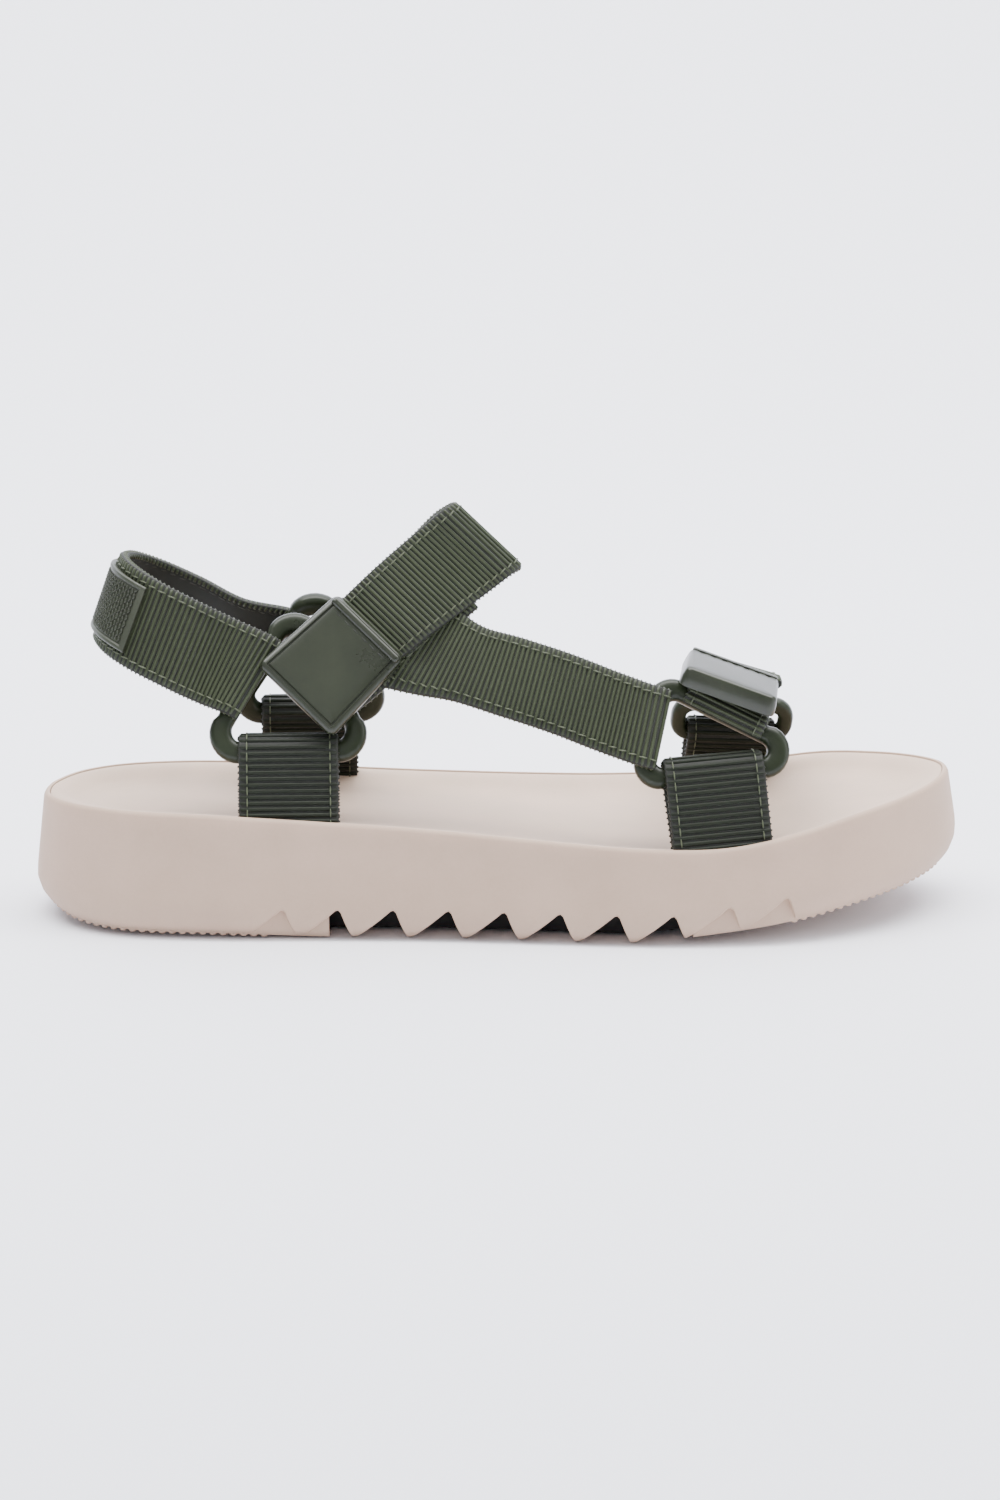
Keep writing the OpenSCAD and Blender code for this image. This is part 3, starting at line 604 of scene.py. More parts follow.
# %% Rows over a ring's bar
def over_bar(ring, i, angles, like, width_t=STRAP_T):
    """Rows (point, direction across) round bar i: 0 is outside it, and angles grow towards the ring."""
    bar, across = ring.bar(i), wall_dir(ring.wall, ring.angle(i))
    across = across if across @ np.array(like) > 0 else -across
    out = wall_out(ring.wall)
    head = ring.centre() - bar
    head = unit(head - across * (head @ across))
    radius = ring.bar_r + LOOP_GAP + width_t / 2
    rows = []
    for a in angles:
        a = math.radians(a)
        rows.append([*(bar + (out * math.cos(a) + head * math.sin(a)) * radius), *across])
    return rows


class Path:
    """A strap's middle line at even steps: points, directions across and out, and width in strap widths."""

    STEP = 0.5

    def __init__(self, rows, foot):
        rows = np.array([list(row) + [1.0] * (7 - len(row)) for row in rows], float)
        gaps = np.linalg.norm(np.diff(rows[:, :3], axis=0), axis=1)
        knots = np.concatenate([[0], np.cumsum(gaps**0.75)])
        fine = np.linspace(0, knots[-1], 1200)
        dense = np.column_stack([self.smooth(knots, rows[:, k], fine) for k in range(7)])
        length = np.concatenate([[0], np.cumsum(np.linalg.norm(np.diff(dense[:, :3], axis=0), axis=1))])
        even = np.linspace(0, length[-1], max(8, round(length[-1] / self.STEP)) + 1)
        even_rows = np.column_stack([np.interp(even, length, dense[:, k]) for k in range(7)])
        self.at = even_rows[:, :3]
        tangent = np.gradient(self.at, axis=0)
        self.wide = even_rows[:, 6]
        self.across = unit_rows(even_rows[:, 3:6])
        out = unit_rows(np.cross(tangent, self.across))
        middle = len(out) // 2
        self.out = out if out[middle] @ (self.at[middle] - np.array(foot)) > 0 else -out

    @staticmethod
    def smooth(knots, values, at):
        """Hermite curve through values at knots, with slopes from the neighbours on both sides."""
        slopes = np.gradient(values, knots)
        i = np.clip(np.searchsorted(knots, at, side="right") - 1, 0, len(knots) - 2)
        gap = knots[i + 1] - knots[i]
        t = (at - knots[i]) / gap
        return (
            (2 * t**3 - 3 * t**2 + 1) * values[i] + (t**3 - 2 * t**2 + t) * gap * slopes[i]
            + (3 * t**2 - 2 * t**3) * values[i + 1] + (t**3 - t**2) * gap * slopes[i + 1]
        )

    def part(self, first, last):
        """The stretch between two of its points."""
        piece = object.__new__(Path)
        piece.at, piece.across, piece.out, piece.wide = (
            a[first:last + 1] for a in (self.at, self.across, self.out, self.wide)
        )
        return piece

    def raised(self, shift, lift):
        """The same stretch, moved across and out."""
        piece = self.part(0, len(self.at))
        piece.at = self.beside(shift, lift)
        return piece

    def beside(self, shift, lift):
        """The line that runs beside this one, shift across and lift out."""
        return self.at + self.across * self.wide[:, None] * shift + self.out * lift


# %% [markdown]
# ## Ribs, bumps and stitches
# The straps imitate grosgrain ribbon: close ribs straight across, a fat bump at each end of every rib
# that wraps the strap's edge, and a thin raised line of stitches just inside the bumps. All of them
# repeat along the strap's path, so Geometry Nodes place them: the path is a line of points that carry
# the directions across and out, and one rib, shaped by a formula, is put on it at an even pitch.


# %% Trees with named inputs
def node_group(name, inputs):
    """An empty Geometry Nodes tree with named inputs, as (group, Tree, {name: Wire}, output socket)."""
    group = bpy.data.node_groups.new(name, "GeometryNodeTree")
    group.interface.new_socket(name="Geometry", in_out="OUTPUT", socket_type="NodeSocketGeometry")
    for label, kind in inputs.items():
        group.interface.new_socket(name=label, in_out="INPUT", socket_type="NodeSocket" + kind)
    tree = Tree(group)
    entry = group.nodes.new("NodeGroupInput")
    leave = group.nodes.new("NodeGroupOutput")
    wires = {s.name: Wire(tree, s) for s in entry.outputs if s.name}
    return group, tree, wires, leave.inputs["Geometry"]


def grown(piece, group, **values):
    """Runs a tree on a piece, and puts the plain mesh that it makes in the piece's place."""
    modifier = piece.modifiers.new(group.name, "NODES")
    modifier.node_group = group
    for item in group.interface.items_tree:
        label = item.name.replace(" ", "_")
        if item.in_out == "INPUT" and label in values:
            modifier[item.identifier] = values[label]
    graph = bpy.context.evaluated_depsgraph_get()
    mesh = bpy.data.meshes.new_from_object(piece.evaluated_get(graph))
    piece.modifiers.clear()
    piece.data = mesh
    return piece


def path_points(tree, line, count, value):
    """At the index of each of count points along a line: its place, or a named value of the line."""
    curve = tree.node("GeometryNodeMeshToCurve", {}, {"Mesh": line})
    index = tree.node("GeometryNodeInputIndex")
    named = tree.node("GeometryNodeInputNamedAttribute", {"data_type": "FLOAT_VECTOR"}, {"Name": value})
    return tree.node(
        "GeometryNodeSampleCurve",
        {"mode": "FACTOR", "use_all_curves": False, "data_type": "FLOAT_VECTOR"},
        {"Curves": curve, "Value": named, "Factor": (index + 0.5) / count},
        "Value",
    )


def line_count(tree, line, pitch):
    """How many things at a pitch fit along a line."""
    curve = tree.node("GeometryNodeMeshToCurve", {}, {"Mesh": line})
    length = tree.node("GeometryNodeCurveLength", {}, {"Curve": curve})
    return tree.node("ShaderNodeMath", {"operation": "ROUND"}, {0: length / pitch})


def sized_ball(tree, wire, segments, rings):
    """A ball one metre across, and the sizes that make a stitch or a stud of it."""
    ball = tree.node(
        "GeometryNodeMeshUVSphere", {}, {"Segments": segments, "Rings": rings, "Radius": 0.5}, "Mesh"
    )
    size = tree.node("ShaderNodeCombineXYZ", {}, {"X": wire["Long"], "Y": wire["Wide"], "Z": wire["High"]})
    return ball, size


def laid(tree, dots, item, axis, out, second, size, finish):
    """An item on every point, its Z turned out and its axis turned to second, made real with a finish."""
    turn = tree.node(
        "FunctionNodeAxesToRotation", {"primary_axis": "Z", "secondary_axis": axis},
        {"Primary Axis": out, "Secondary Axis": second},
    )
    placed = tree.node(
        "GeometryNodeInstanceOnPoints", {},
        {"Points": dots, "Instance": item, "Rotation": turn, "Scale": size},
    )
    real = tree.node("GeometryNodeRealizeInstances", {}, {"Geometry": placed})
    return tree.node("GeometryNodeSetMaterial", {}, {"Geometry": real, "Material": finish})


# %% The tree that lays ribs across a strap
rib_group, tree, wire, rib_out = node_group("ribs across a strap", {
    "Strap": "Geometry", "Line": "Object", "Pitch": "Float", "Width": "Float", "Thickness": "Float",
    "Rib height": "Float", "Border": "Float", "Bump height": "Float", "Finish": "Material",
    "Gap finish": "Material",
})
line = tree.node("GeometryNodeObjectInfo", {}, {"Object": wire["Line"]}, "Geometry")
count = line_count(tree, line, wire["Pitch"])
rod = tree.node(
    "GeometryNodeMeshCylinder", {"fill_type": "NGON"},
    {"Vertices": 10, "Side Segments": 26, "Radius": 1.0, "Depth": 1.0}, "Mesh",
)
place = tree.node("GeometryNodeInputPosition")
parts = {
    axis: tree.node("ShaderNodeSeparateXYZ", {}, {"Vector": place}, axis) for axis in ("X", "Y", "Z")
}
half = wire["Width"] * 0.5
full = wire["Width"] + wire["Bump height"] * 1.2
reach = tree.node("ShaderNodeMath", {"operation": "ABSOLUTE"}, {0: parts["Z"]}) * full
in_border = tree.node(
    "ShaderNodeMapRange", {"interpolation_type": "SMOOTHSTEP"},
    {"Value": reach, "From Min": half - wire["Border"], "From Max": half - wire["Border"] + 0.0004},
)
tip = tree.node(
    "ShaderNodeMapRange", {},
    {"Value": reach, "From Min": half - 0.0007, "From Max": half + wire["Bump height"] * 0.6},
)
tip_round = tree.node(
    "ShaderNodeMath", {"operation": "SQRT", "use_clamp": True}, {0: 1.02 - tip * tip}
)
fat = wire["Thickness"] * 0.5 + wire["Bump height"]
height = (wire["Rib height"] * (1 - in_border) + fat * in_border) * tip_round
middle = wire["Thickness"] * 0.5 * (1 - in_border)
rib_place = tree.node("ShaderNodeCombineXYZ", {}, {
    "X": parts["Z"] * full,
    "Y": parts["X"] * wire["Pitch"] * (0.36 + in_border * 0.12) * tip_round,
    "Z": middle + parts["Y"] * height,
})
rib = tree.node("GeometryNodeSetPosition", {}, {"Geometry": rod, "Position": rib_place})
rib = tree.node("GeometryNodeSetShadeSmooth", {}, {"Geometry": rib, "Shade Smooth": True})
at = path_points(tree, line, count, "at")
dots = tree.node("GeometryNodePoints", {}, {"Count": count, "Position": at})
ribs = laid(
    tree, dots, rib, "X", path_points(tree, line, count, "out"), path_points(tree, line, count, "across"),
    path_points(tree, line, count, "size"), wire["Finish"],
)
# The strap's core, which shows between the ribs, takes the near-black finish that paints the shade there.
ground = tree.node(
    "GeometryNodeSetMaterial", {}, {"Geometry": wire["Strap"], "Material": wire["Gap finish"]}
)
tree.feed(rib_out, tree.node("GeometryNodeJoinGeometry", {}, {"Geometry": [ground, ribs]}))
print("tree:", rib_group.name, len(rib_group.nodes), "nodes")

# %% The tree that lays stitches along a line
stitch_group, tree, wire, stitch_out = node_group("stitches along a line", {
    "Line": "Geometry", "Pitch": "Float", "Long": "Float", "Wide": "Float", "High": "Float",
    "Finish": "Material",
})
line = wire["Line"]
count = line_count(tree, line, wire["Pitch"])
ball, size = sized_ball(tree, wire, 8, 6)
ball = tree.node("GeometryNodeSetShadeSmooth", {}, {"Geometry": ball, "Shade Smooth": True})
at = path_points(tree, line, count, "at")
dots = tree.node("GeometryNodePoints", {}, {"Count": count, "Position": at})
tree.feed(stitch_out, laid(
    tree, dots, ball, "Y", path_points(tree, line, count, "out"), path_points(tree, line, count, "across"),
    size, wire["Finish"],
))
print("tree:", stitch_group.name, len(stitch_group.nodes), "nodes")


# %% Lines, stitches and joining
def line_object(name, at, across, out, wide=None):
    """A line of points that carries its places, directions and widths for the trees."""
    made = new_object(name, at, [], [(i, i + 1) for i in range(len(at) - 1)])
    size = np.ones((len(at), 3))
    if wide is not None:
        size[:, 0] = wide
    for label, values in (("at", np.asarray(at) * MM), ("across", across), ("out", out), ("size", size)):
        layer = made.data.attributes.new(label, "FLOAT_VECTOR", "POINT")
        layer.data.foreach_set("vector", np.asarray(values, np.float32).ravel())
    return made


def stitched(name, at, across, out, pitch=3.1, long=2.7, wide=0.42, high=0.5, finish=LIT_STITCH_FINISH):
    """A row of stitches along a line, sizes in millimetres."""
    piece = line_object(name, at, across, out)
    return grown(piece, stitch_group, Pitch=pitch * MM, Long=long * MM, Wide=wide * MM, High=high * MM,
                 Finish=finish)


def joined_piece(name, pieces):
    """One mesh object from several."""
    bpy.ops.object.select_all(action="DESELECT")
    for piece in pieces:
        piece.select_set(True)
    bpy.context.view_layer.objects.active = pieces[0]
    bpy.ops.object.join()
    pieces[0].name = name
    return pieces[0]


# %% A whole ribbed strap
RIB_PITCH = 1.42
RIB_H = 0.5
BORDER_W = 2.3
BUMP_H = 0.42
SLAB_EDGE = 0.45


def slab(name, path, width, thick, finish=None):
    """The strap's smooth core: a rounded rectangle swept along the path."""
    half_w, half_t = width / 2 - 0.15, thick / 2
    corner = [(math.cos(a) * SLAB_EDGE, math.sin(a) * SLAB_EDGE) for a in np.linspace(0, math.pi / 2, 4)]
    section = [(half_w - SLAB_EDGE + c, half_t - SLAB_EDGE + s) for c, s in corner]
    section += [(-x, y) for x, y in section[::-1]]
    section = np.array(section + [(-x, -y) for x, y in section])
    picks = np.unique(np.append(np.arange(0, len(path.at), 2), len(path.at) - 1))
    wide, high = section[:, :1], section[:, 1:]
    rows = [path.at[k] + path.across[k] * wide * path.wide[k] + path.out[k] * high for k in picks]
    n, m = len(rows), len(section)
    faces = band_faces(n, m) + [tuple(range(m)), tuple(range((n - 1) * m, n * m))]
    return tidy_shell(new_object(name, np.vstack(rows), faces), 40, finish)


def ribbed_strap(name, path, width, thick=STRAP_T, pitch=RIB_PITCH, inner_stitches=True, finish=STRAP):
    """A ribbed strap along a path, with its stitch lines outside and inside."""
    core = slab(name, path, width, thick)
    line = line_object(name + "_line", path.at, path.across, path.out, path.wide)
    grown(core, rib_group, Line=line, Pitch=pitch * MM, Width=width * MM, Thickness=thick * MM,
          Rib_height=RIB_H * MM, Border=BORDER_W * MM, Bump_height=BUMP_H * MM,
          Finish=finish, Gap_finish=RIB_GAP_SHADE)
    bpy.data.objects.remove(line)
    seam = width / 2 - BORDER_W - 0.15
    rows = [core]
    for side in (-1, 1):
        # The outer stitches take the lighter finish, a painted highlight on the raised line.
        above = path.beside(side * seam, thick / 2 + RIB_H - 0.02)
        rows.append(stitched(name + "_stitch", above, path.across, path.out))
        if inner_stitches:
            # The inner stitches take the near-black finish, painted shade in the sunk line.
            below = path.beside(side * seam, -thick / 2)
            rows.append(stitched(name + "_groove", below, path.across, path.out, wide=0.5, high=0.16,
                                 finish=SUNK_STITCH_SHADE))
    return joined_piece(name, rows)


# %% [markdown]
# ## The straps
# Six straps and four anchors share that one maker. Their rows of numbers are places along the foot.

# %% Heel strap: three pieces of one band, cut between two ribs where it meets the foot's sides
END_TURN = (38, 19, 0)
STRAP_W = 26
heel_rows = over_bar(lateral_ankle, 2, END_TURN, (0.5, 0.36, 0.78)) + [
    [-79.5, -17.6, 75.2, 0.42, 0.33, 0.85], [-90, -20.4, 81, 0.38, 0.29, 0.88],
    [-100, -18.4, 86, 0.36, 0.22, 0.91], [-107.4, -11.2, 89.7, 0.34, 0.11, 0.93],
    [-110.2, 0, 91.2, 0.337, 0, 0.943], [-107.4, 11.2, 89.9, 0.34, -0.11, 0.93],
    [-100, 18.8, 86.4, 0.36, -0.22, 0.91], [-90, 21, 81.6, 0.38, -0.28, 0.88],
    [-78.5, 19, 76, 0.42, -0.30, 0.85],
] + over_bar(medial_ankle, 2, END_TURN[::-1], (0.5, -0.3, 0.81))
heel_path = Path(heel_rows, (-85, 0, 80))
HEEL_SEAM = np.array([-84.5, 0, 78])
HEEL_BACK = unit([-0.917, 0, 0.398])
behind = np.flatnonzero((heel_path.at - HEEL_SEAM) @ HEEL_BACK > 0)
heel_pieces = {
    "heel_strap": (heel_path.part(behind[0], behind[-1]), "heel_band", 1),
    "heel_strap_lateral_end": (heel_path.part(0, behind[0]), "lateral_side", -1),
    "heel_strap_medial_end": (heel_path.part(behind[-1], len(heel_path.at) - 1), "medial_ankle_side", -1),
}
BLEND_AWAY = 1.5
BLEND_LONG = 10
for name, (path, body, way) in heel_pieces.items():
    strap = ribbed_strap(name + "_band", path, STRAP_W)
    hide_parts(name)
    start = HEEL_SEAM + HEEL_BACK * way * BLEND_AWAY
    end = start + HEEL_BACK * way * BLEND_LONG
    tuple(start * MM)
    tuple(end * MM)
    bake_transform(strap)
    print(name, len(strap.data.polygons), "faces")

# %% Ankle base strap and side strap, which leave the lateral ankle ring together
BASE_ANGLE = 41
BASE_V = 3.6
base_across = wall_dir(LATERAL_ANKLE, BASE_ANGLE + 90)
base_along = wall_dir(LATERAL_ANKLE, BASE_ANGLE)
base_start = lateral_ankle.bar(1) + wall_out(LATERAL_ANKLE) * BASE_V
base_rows = over_bar(lateral_ankle, 1, END_TURN, base_across)
base_rows += [[*(base_start + base_along * s), *base_across] for s in (9, 20, 32, 44)]
base_path = Path(base_rows, (-40, 0, 60))
base_strap = ribbed_strap("ankle_base_band", base_path, 24.5)
side_rows = [
    [*on_wall(LATERAL_ANKLE, -25.5, 50.2, BASE_V), 0.56, 0.34, 0.76, 1.42],
    [-17, -15.6, 76.3, 0.47, 0.38, 0.80, 1.14], [-10.5, -17.4, 74.1, 0.42, 0.39, 0.82],
    [2, -20.6, 70.7, 0.30, 0.40, 0.87],
    [16, -24, 66.5, 0.28, 0.39, 0.88], [29, -27.6, 61.9, 0.27, 0.39, 0.88],
] + over_bar(lateral_toe, 2, END_TURN[::-1], (0.27, 0.39, 0.88))
side_strap = ribbed_strap("side_band", Path(side_rows, (10, 0, 50)), 23.5)
stand_for(base_strap, "lateral_side", "ankle_base_strap")
stand_for(side_strap, "lateral_side", "side_strap")

# %% Ankle closure: one strap over the instep, which peels open at its crest
FLAP_V = 7.8
TAB_ANGLE = 44.5
tab_across = wall_dir(LATERAL_ANKLE, TAB_ANGLE - 90)
crest, crest_across = np.array([-4.1, 0.6, 107.1]), np.array([0.72, 0, -0.69])
ankle_rows = over_bar(medial_ankle, 1, END_TURN, (0.4, 0.3, -0.86)) + [
    [-30, 14.6, 82.8, 0.58, 0.22, -0.78], [-18.5, 11.4, 94, 0.68, 0.14, -0.71],
    [-8.4, 6.0, 104, 0.71, 0.07, -0.70, 1.04], [*crest, *crest_across, 1.05],
]
flap_root, fold = on_wall(LATERAL_ANKLE, -31, 57.3, FLAP_V), np.array([-6.6, -3.3, 106.2])
for share, sink in ((1, 0), (0.8, 0), (0.5, 0), (0.2, 0), (0, 0.7), (-0.2, 2.4), (-0.42, 2.7)):
    across = tab_across + (crest_across - tab_across) * max(share, 0)
    middle = flap_root + (fold - flap_root) * share - wall_out(LATERAL_ANKLE) * sink
    ankle_rows.append([*middle, *across, 0.95 + 0.10 * share])
ankle_strap = ribbed_strap("ankle_closure_band", Path(ankle_rows, (-40, 0, 60)), STRAP_W)
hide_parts("ankle_closure_strap", "ankle_flap_strap")
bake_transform(ankle_strap)

# %% Toe closure and toe base strap
toe_across = (0.953, 0, -0.303)
toe_rows = over_bar(medial_toe, 2, (38, 19, 0, -25), (0.99, 0, -0.1)) + [
    [70.4, 24.5, 58, 0.99, 0, -0.14], [69.7, 13, 63.8, 0.975, 0, -0.22], [68.7, 1, 67.9, 0.96, 0, -0.28],
    [68.1, -7, 69.6, *toe_across], [66.9, -16, 70.3, *toe_across],
]
toe_path = Path(toe_rows, (69, 0, 40))
toe_strap = ribbed_strap("toe_closure_band", toe_path, STRAP_W - 1)
stand_for(toe_strap, "toe_strap", "toe_closure_strap")
toe_base_rows = over_bar(lateral_toe, 1, (38, 19, 0, -30, -60), (0.89, -0.2, -0.42), 1.6) + [
    [63.3, -20.5, 64.2, 0.92, -0.12, -0.37], [65, -13, 64.9, 0.94, -0.04, -0.33],
    [66.6, -6, 64.9, *toe_across], [67.7, -0.5, 64.3, *toe_across],
]
toe_base_path = Path(toe_base_rows, (69, 0, 40))
toe_base = ribbed_strap("toe_base_band", toe_base_path, 24, 1.6)
stand_for(toe_base, "toe_base", "toe_base_strap")

# %% Anchors: up out of the sole, round the ring's lowest bar and back down inside
ANCHOR_PITCH = 1.75
ANCHOR_TAIL = 4


def anchor_rows(ring):
    """Rows from inside the sole up the outer face, over the bar and down the inner face."""
    bar, across = ring.bar(0), unit(wall_dir(ring.wall, ring.angle(0)))
    out = wall_out(ring.wall)
    foot = on_wall(ring.wall, (ring.corners[0][0] + ring.corners[1][0]) / 2, 0)
    up = unit((bar - foot) - across * ((bar - foot) @ across))
    rise = (bar - foot) @ up
    radius = ring.bar_r + LOOP_GAP + LOOP_T / 2
    touch = math.asin(radius / math.hypot(STRAP_T / 2, rise)) - math.atan2(STRAP_T / 2, rise)
    down = [
        -up * (rise + ANCHOR_TAIL) + out * STRAP_T / 2,
        -up * (rise * 0.75) + out * (STRAP_T / 2 + radius * 0.2),
        -up * (rise * 0.4) + out * (STRAP_T / 2 + radius * 0.5),
    ]
    arc = [
        out * radius * math.cos(a) + up * radius * math.sin(a)
        for a in np.linspace(-touch, math.pi + touch, 9)
    ]
    back = [p - 2 * out * (p @ out) for p in down[::-1]]
    return [[*(bar + p), *across] for p in down + arc + back]


for name, (ring, _) in RINGS.items():
    width = 26.5 if name == "medial_toe" else 28
    path = Path(anchor_rows(ring), ring.bar(0) - wall_out(ring.wall) * 0.01)
    top = len(path.at) // 2
    if path.out[top] @ (path.at[top] - ring.bar(0)) < 0:
        path.out = -path.out
    # The anchors take the darker copy of the strap plastic, which paints the shade on their faces.
    strap = ribbed_strap(name + "_anchor_band", path, width, LOOP_T, ANCHOR_PITCH, False, SHADED_ANCHOR_FINISH)
    stand_for(strap, "sole", name + "_anchor")
print("straps done")

# %% [markdown]
# ## Tabs
# Both closures end in a smooth moulded tab. A tab is a stack of rounded rectangles: each level of its
# profile is a rectangle drawn in by some amount at some height, which gives the rounded edge, the
# grooved border and the flat top. A bar and a row of stitches mark where the strap goes in.


# %% A plate from a profile
def rounded_rectangle(long, wide, corner):
    """Points round a rectangle with round corners, anticlockwise."""
    points = []
    for cx, cy, start in ((1, 1, 0), (-1, 1, 90), (-1, -1, 180), (1, -1, 270)):
        for a in np.radians(np.linspace(start, start + 90, 7)):
            points.append((cx * (long / 2 - corner) + corner * math.cos(a),
                           cy * (wide / 2 - corner) + corner * math.sin(a)))
    return np.array(points)


def plate(name, origin, axes, long, wide, corner, profile, crease=28, taper=0.0, finish=TAB):
    """A plate on axes (along, across, up) from a profile of (drawn in by, height), narrower along."""
    along, across, up = (np.asarray(a, float) for a in axes)
    points = []
    for inset, height in profile:
        ring = rounded_rectangle(long - 2 * inset, wide - 2 * inset, max(corner - inset, 0.2))
        points += [origin + along * x + across * y * (1 - taper * x / long) + up * height for x, y in ring]
    n = len(points) // len(profile)
    faces = band_faces(len(profile), n) + [tuple(range(n)), tuple(range(len(points) - n, len(points)))]
    return tidy_shell(new_object(name, points, faces), crease, finish)


def straight_line(first, last, across, out, steps=60):
    """Places and directions along a straight line, for stitches."""
    at = np.linspace(first, last, steps)
    return at, np.tile(across, (steps, 1)), np.tile(out, (steps, 1))


# %% Ankle tab
TAB_L, TAB_W, TAB_T, TAB_SINK = 30.4, 28, 3.6, 0.7
TAB_TAPER = 0.10
tab_along = wall_dir(LATERAL_ANKLE, TAB_ANGLE)
tab_side = wall_dir(LATERAL_ANKLE, TAB_ANGLE + 90)
tab_up = wall_out(LATERAL_ANKLE)
tab_axes = (tab_along, tab_side, tab_up)
tab_origin = on_wall(LATERAL_ANKLE, -47.8, 42.2, FLAP_V - STRAP_T / 2 - TAB_SINK)
TAB_PROFILE = [
    (0.7, 0), (0.15, 0.25), (0, 0.8), (0, 2.0), (0.2, 2.55), (0.6, 2.95), (1.5, 3.35), (1.75, 3.35),
    (1.95, 2.95), (2.25, 2.95), (2.45, 3.34), (2.8, 3.45), (5, 3.55), (9, 3.57),
]
BAR_PROFILE = [(0, 0), (0, 0.9), (0.25, 1.4), (0.7, 1.72), (1.15, 1.8)]
ankle_tab = plate("ankle_tab_plate", tab_origin, tab_axes, TAB_L, TAB_W, 2.2, TAB_PROFILE, taper=TAB_TAPER)
bar_origin = tab_origin + tab_along * 13 + tab_up * 2.6
bar = plate("ankle_tab_bar", bar_origin, tab_axes, 2.6, 25.6, 1.1, BAR_PROFILE)
dash_middle, dash_half = tab_origin + tab_along * 10.7 + tab_up * 3.5, tab_side * 9.8
dash_line = straight_line(dash_middle - dash_half, dash_middle + dash_half, tab_along, tab_up)
# The dashes take the near-black finish: painted shade in the sunk stitches.
dashes = stitched("ankle_tab_dashes", *dash_line, high=0.3, finish=SUNK_STITCH_SHADE)
ankle_tab = joined_piece("ankle_tab_plate", [ankle_tab, bar, dashes])
stand_for(ankle_tab, "ankle_flap", "ankle_tab")

# %% Toe tab
TOE_TAB_L = 22
toe_x, toe_y = unit((0.94, -0.13, -0.33)), unit((0.15, 0.98, 0.07))
toe_y = unit(toe_y - toe_x * (toe_x @ toe_y))
toe_up = np.cross(toe_x, toe_y)
toe_axes = (toe_x, toe_y, toe_up)
toe_origin = np.array([62.6, -35, 71.3]) + toe_y * TOE_TAB_L / 2 - toe_up * TAB_T
TOE_TAB_PROFILE = [
    (0.9, -2.2), (0.2, -2.0), (0, -1.5), (0.2, 0.6), (0.6, 2.4), (0.85, 3.0), (1.3, 3.4), (2.1, 3.58),
    (4, 3.66), (8, 3.68),
]
LIP_PROFILE = [(0, 0), (0, 1.2), (0.25, 1.5), (0.7, 1.6)]
toe_tab = plate("toe_tab_plate", toe_origin, toe_axes, TAB_W, TOE_TAB_L, 2.6, TOE_TAB_PROFILE, 45)
slot_middle, slot_half = toe_origin + toe_y * 8.95 + toe_up * 3.8, toe_x * 11.5
slot_line = straight_line(slot_middle - slot_half, slot_middle + slot_half, toe_y, toe_up)
# The slots take the near-black finish: painted shade inside them.
slots = stitched("toe_tab_slots", *slot_line, pitch=3.2, long=1.9, wide=0.6, high=0.4, finish=SUNK_STITCH_SHADE)
lip_origin = toe_origin + toe_y * 9.9 + toe_up * 2.4
lip = plate("toe_tab_lip", lip_origin, toe_axes, 25.4, 2.0, 0.8, LIP_PROFILE)
toe_tab = joined_piece("toe_tab_plate", [toe_tab, slots, lip])
stand_for(toe_tab, "toe_strap", "toe_tab")
print("tabs done")

# %% [markdown]
# ## Knurling and pile
# The panel at the heel is knurled, and the closures hold with tiny hooks and loops. Both are one small
# stud on every face of a grid, so a third tree does that: each face gives a point, which keeps the
# face's normal and a direction along it.

# %% The tree that puts a stud on every face
stud_group, tree, wire, stud_out = node_group("studs on every face", {
    "Sheet": "Geometry", "Long": "Float", "Wide": "Float", "High": "Float", "Finish": "Material",
})
normal = tree.node("GeometryNodeInputNormal", {}, {}, "Normal")
marked = tree.node(
    "GeometryNodeStoreNamedAttribute", {"data_type": "FLOAT_VECTOR", "domain": "FACE"},
    {"Geometry": wire["Sheet"], "Name": "face out", "Value": normal},
)
dots = tree.node("GeometryNodeMeshToPoints", {"mode": "FACES"}, {"Mesh": marked})
face_out = tree.node("GeometryNodeInputNamedAttribute", {"data_type": "FLOAT_VECTOR"}, {"Name": "face out"})
along = tree.node("GeometryNodeInputNamedAttribute", {"data_type": "FLOAT_VECTOR"}, {"Name": "along"})
ball, size = sized_ball(tree, wire, 6, 4)
tree.feed(stud_out, laid(tree, dots, ball, "X", face_out, along, size, wire["Finish"]))


def studded(name, path, width, lift, pitch, long, wide, high, finish, slant=0.0):
    """Studs in rows over a strap: slant is how far each stud leans from along to across."""
    step = max(1, round(pitch / Path.STEP))
    picks = np.arange(0, len(path.at), step)
    lanes = np.linspace(-width / 2, width / 2, max(2, round(width / pitch)) + 1)
    points = np.array([path.at[k] + path.across[k] * w + path.out[k] * lift for k in picks for w in lanes])
    n = len(lanes)
    tangent = unit_rows(np.gradient(path.at, axis=0))
    faces, leans = [], []
    for i in range(len(picks) - 1):
        for j in range(n - 1):
            lean = slant if slant <= 1 or (i + j) % 2 else -slant
            faces.append((i * n + j, i * n + j + 1, (i + 1) * n + j + 1, (i + 1) * n + j))
            leans.append(tangent[picks[i]] + path.across[picks[i]] * lean)
    sheet = new_object(name, points, faces)
    facing = sheet.data.polygons[0].normal
    if np.dot(facing, path.out[0]) * (1 if lift > 0 else -1) < 0:
        sheet.data.flip_normals()
    layer = sheet.data.attributes.new("along", "FLOAT_VECTOR", "FACE")
    layer.data.foreach_set("vector", np.array(leans, np.float32).ravel())
    return grown(sheet, stud_group, Long=long * MM, Wide=wide * MM, High=high * MM, Finish=finish)


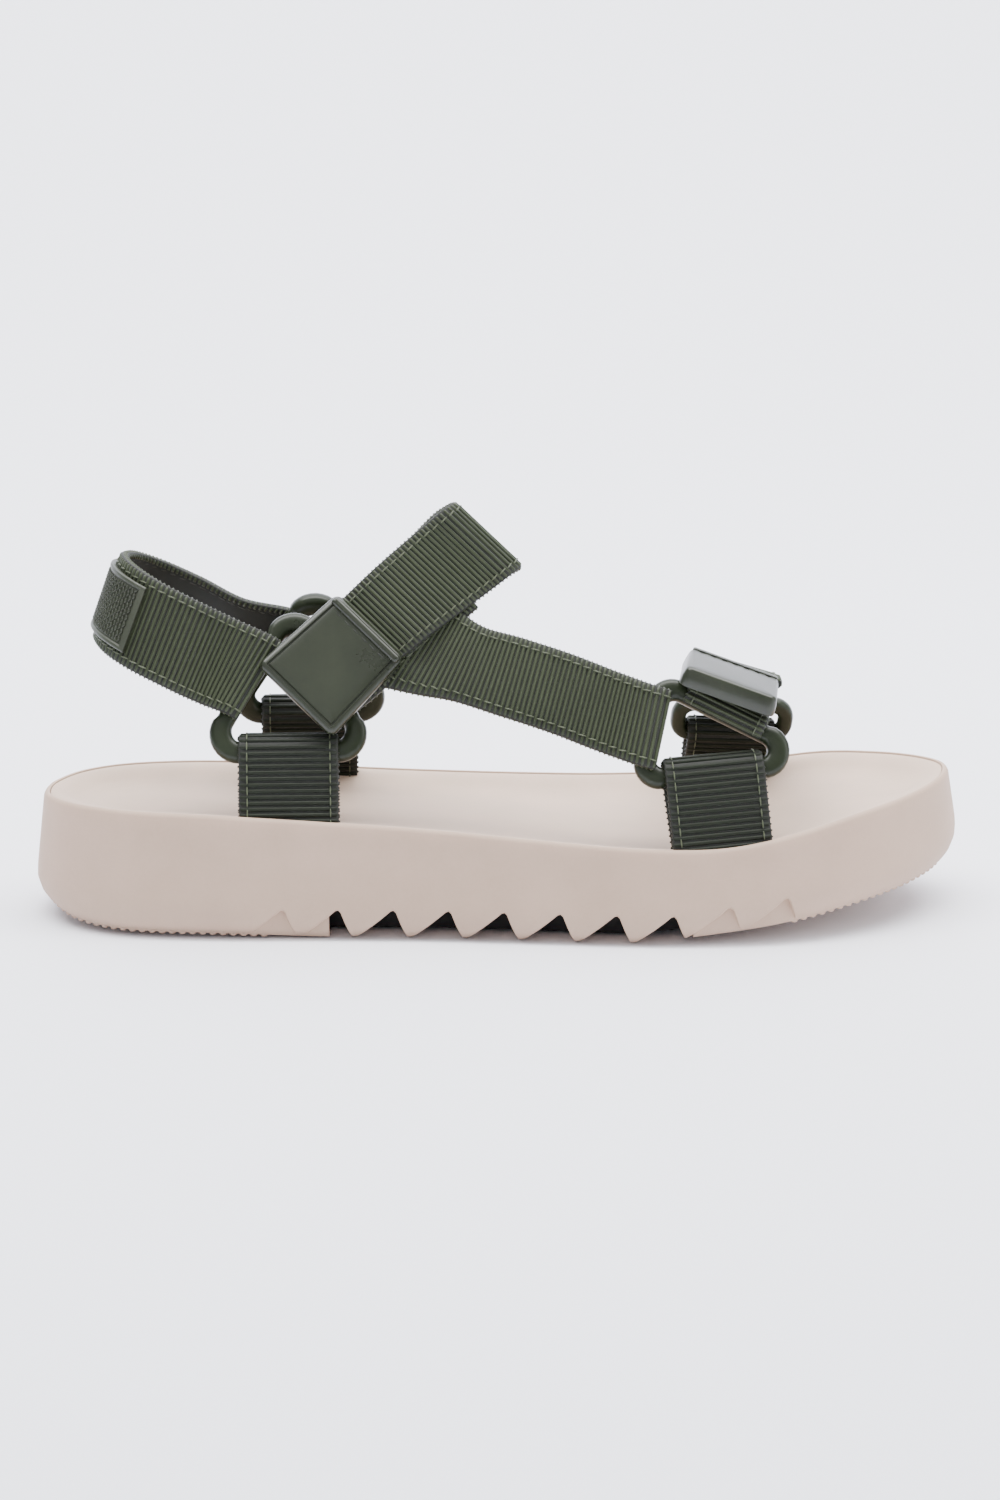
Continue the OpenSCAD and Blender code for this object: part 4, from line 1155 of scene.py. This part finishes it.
# %% Heel panel
back = np.flatnonzero(heel_path.at[:, 0] < -101.5)
panel_path = heel_path.part(back[0], back[-1])
PANEL_H, PANEL_T = 19, 1.3
panel_lift = STRAP_T / 2 + 0.15 + PANEL_T / 2
lifted = panel_path.raised(0, panel_lift)
FRAME_W, FRAME_T = 1.3, 1.0
KNURL_H = PANEL_H - 2 * FRAME_W - 1
parts = [slab("heel_panel", lifted, PANEL_H + 0.4, PANEL_T, PANEL)]
for side in (-1, 1):
    rail_path = lifted.raised(side * (PANEL_H - FRAME_W) / 2, PANEL_T / 2)
    parts.append(slab("heel_panel_rail", rail_path, FRAME_W + 0.5, FRAME_T, PANEL))
for first in (0, len(lifted.at) - 4):
    post_path = lifted.part(first, first + 3).raised(0, PANEL_T / 2)
    parts.append(slab("heel_panel_post", post_path, PANEL_H + 0.4, FRAME_T, PANEL))
knurl_path = lifted.part(4, len(lifted.at) - 5)
knurl = studded("heel_panel_knurl", knurl_path, KNURL_H, PANEL_T / 2, 1.0, 1.4, 0.5, 1.1, PANEL, slant=1.2)
parts.append(knurl)
stand_for(joined_piece("heel_panel", parts), "heel_band", "heel_patch")

# %% Hook and loop patches between the closures' layers
STUD_H = 0.3
HALF_T = STRAP_T / 2


def pile_patch(name, path, width, thick, lift):
    """A thin tape beside a strap, with studs on its far side."""
    raised = path.raised(0, lift)
    tape = slab(name, raised, width, thick, PILE)
    side = 1 if lift > 0 else -1
    pile = studded(name + "_studs", raised, width - 1, side * thick / 2, 1.0, 0.4, 0.4, STUD_H, PILE)
    return joined_piece(name, [tape, pile])


def stretch(path, origin, along, first, last):
    """The part of a path that is between two distances from origin along a direction."""
    far = (path.at - origin) @ along
    inside = np.flatnonzero((far >= first) & (far <= last))
    return path.part(inside[0], inside[-1])


flap_foot = lateral_ankle.bar(1) + tab_up * FLAP_V
hook_line = Path([[*(flap_foot + base_along * s), *base_across] for s in (20, 28, 36)], (-40, 0, 60))
ankle_loop_line = stretch(base_path, base_start, base_along, 19, 37)
toe_loop_line = stretch(toe_base_path, np.array([65, -13, 64.9]), (0, 1, 0), 0, 11.5)
toe_hook_line = stretch(toe_path, np.array([68.7, 1, 67.9]), (0, -1, 0), 1.5, 13)
PATCHES = {
    "ankle_loop_patch": (ankle_loop_line, 20, 0.8, HALF_T + 0.42, "lateral_side"),
    "ankle_hook_patch": (hook_line, 18, 0.7, -HALF_T - 0.5, "ankle_flap"),
    "toe_loop_patch": (toe_loop_line, 16, 0.7, 1.2, "toe_base"),
    "toe_hook_patch": (toe_hook_line, 18, 0.7, -HALF_T - 0.4, "toe_strap"),
}
for name, (path, width, thick, lift, body) in PATCHES.items():
    stand_for(pile_patch(name.replace("_patch", "_tape"), path, width, thick, lift), body, name)
print("patches:", list(PATCHES))

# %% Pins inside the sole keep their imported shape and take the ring's finish
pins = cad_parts["anchor_pins"]
pins.data.materials.clear()
pins.data.materials.append(RING)

# %% Beads along the lower edge at heel and toe
edge_bottom = ring_at(wall_offset(under_z(edge_x) + 0.5) - 0.35, under_z(edge_x) + 0.45)
edge_along = unit_rows(np.roll(edge_bottom, -1, axis=0) - np.roll(edge_bottom, 1, axis=0))
edge_out = np.cross(edge_along, (0, 0, 1.0))
BEADS = {"heel_beads": edge_x < -66, "toe_beads": edge_x > 78}
for name, there in BEADS.items():
    order = np.flatnonzero(there)
    gap = np.flatnonzero(np.diff(order) > 1)
    order = np.roll(order, -gap[0] - 1) if len(gap) else order
    beads = stitched(name, edge_bottom[order], edge_out[order], np.tile((0, 0, 1.0), (len(order), 1)),
                     pitch=2.9, long=2.3, wide=1.5, high=1.5, finish=SOLE)
    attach(beads, "sole")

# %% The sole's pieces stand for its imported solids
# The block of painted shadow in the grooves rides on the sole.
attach(core, "sole")
for piece, node in ((midsole, "midsole"), (footbed, "footbed"), (heel_tread, "outsole_heel_pad"),
                    (toe_tread, "outsole_toe_pad")):
    stand_for(piece, "sole", node)
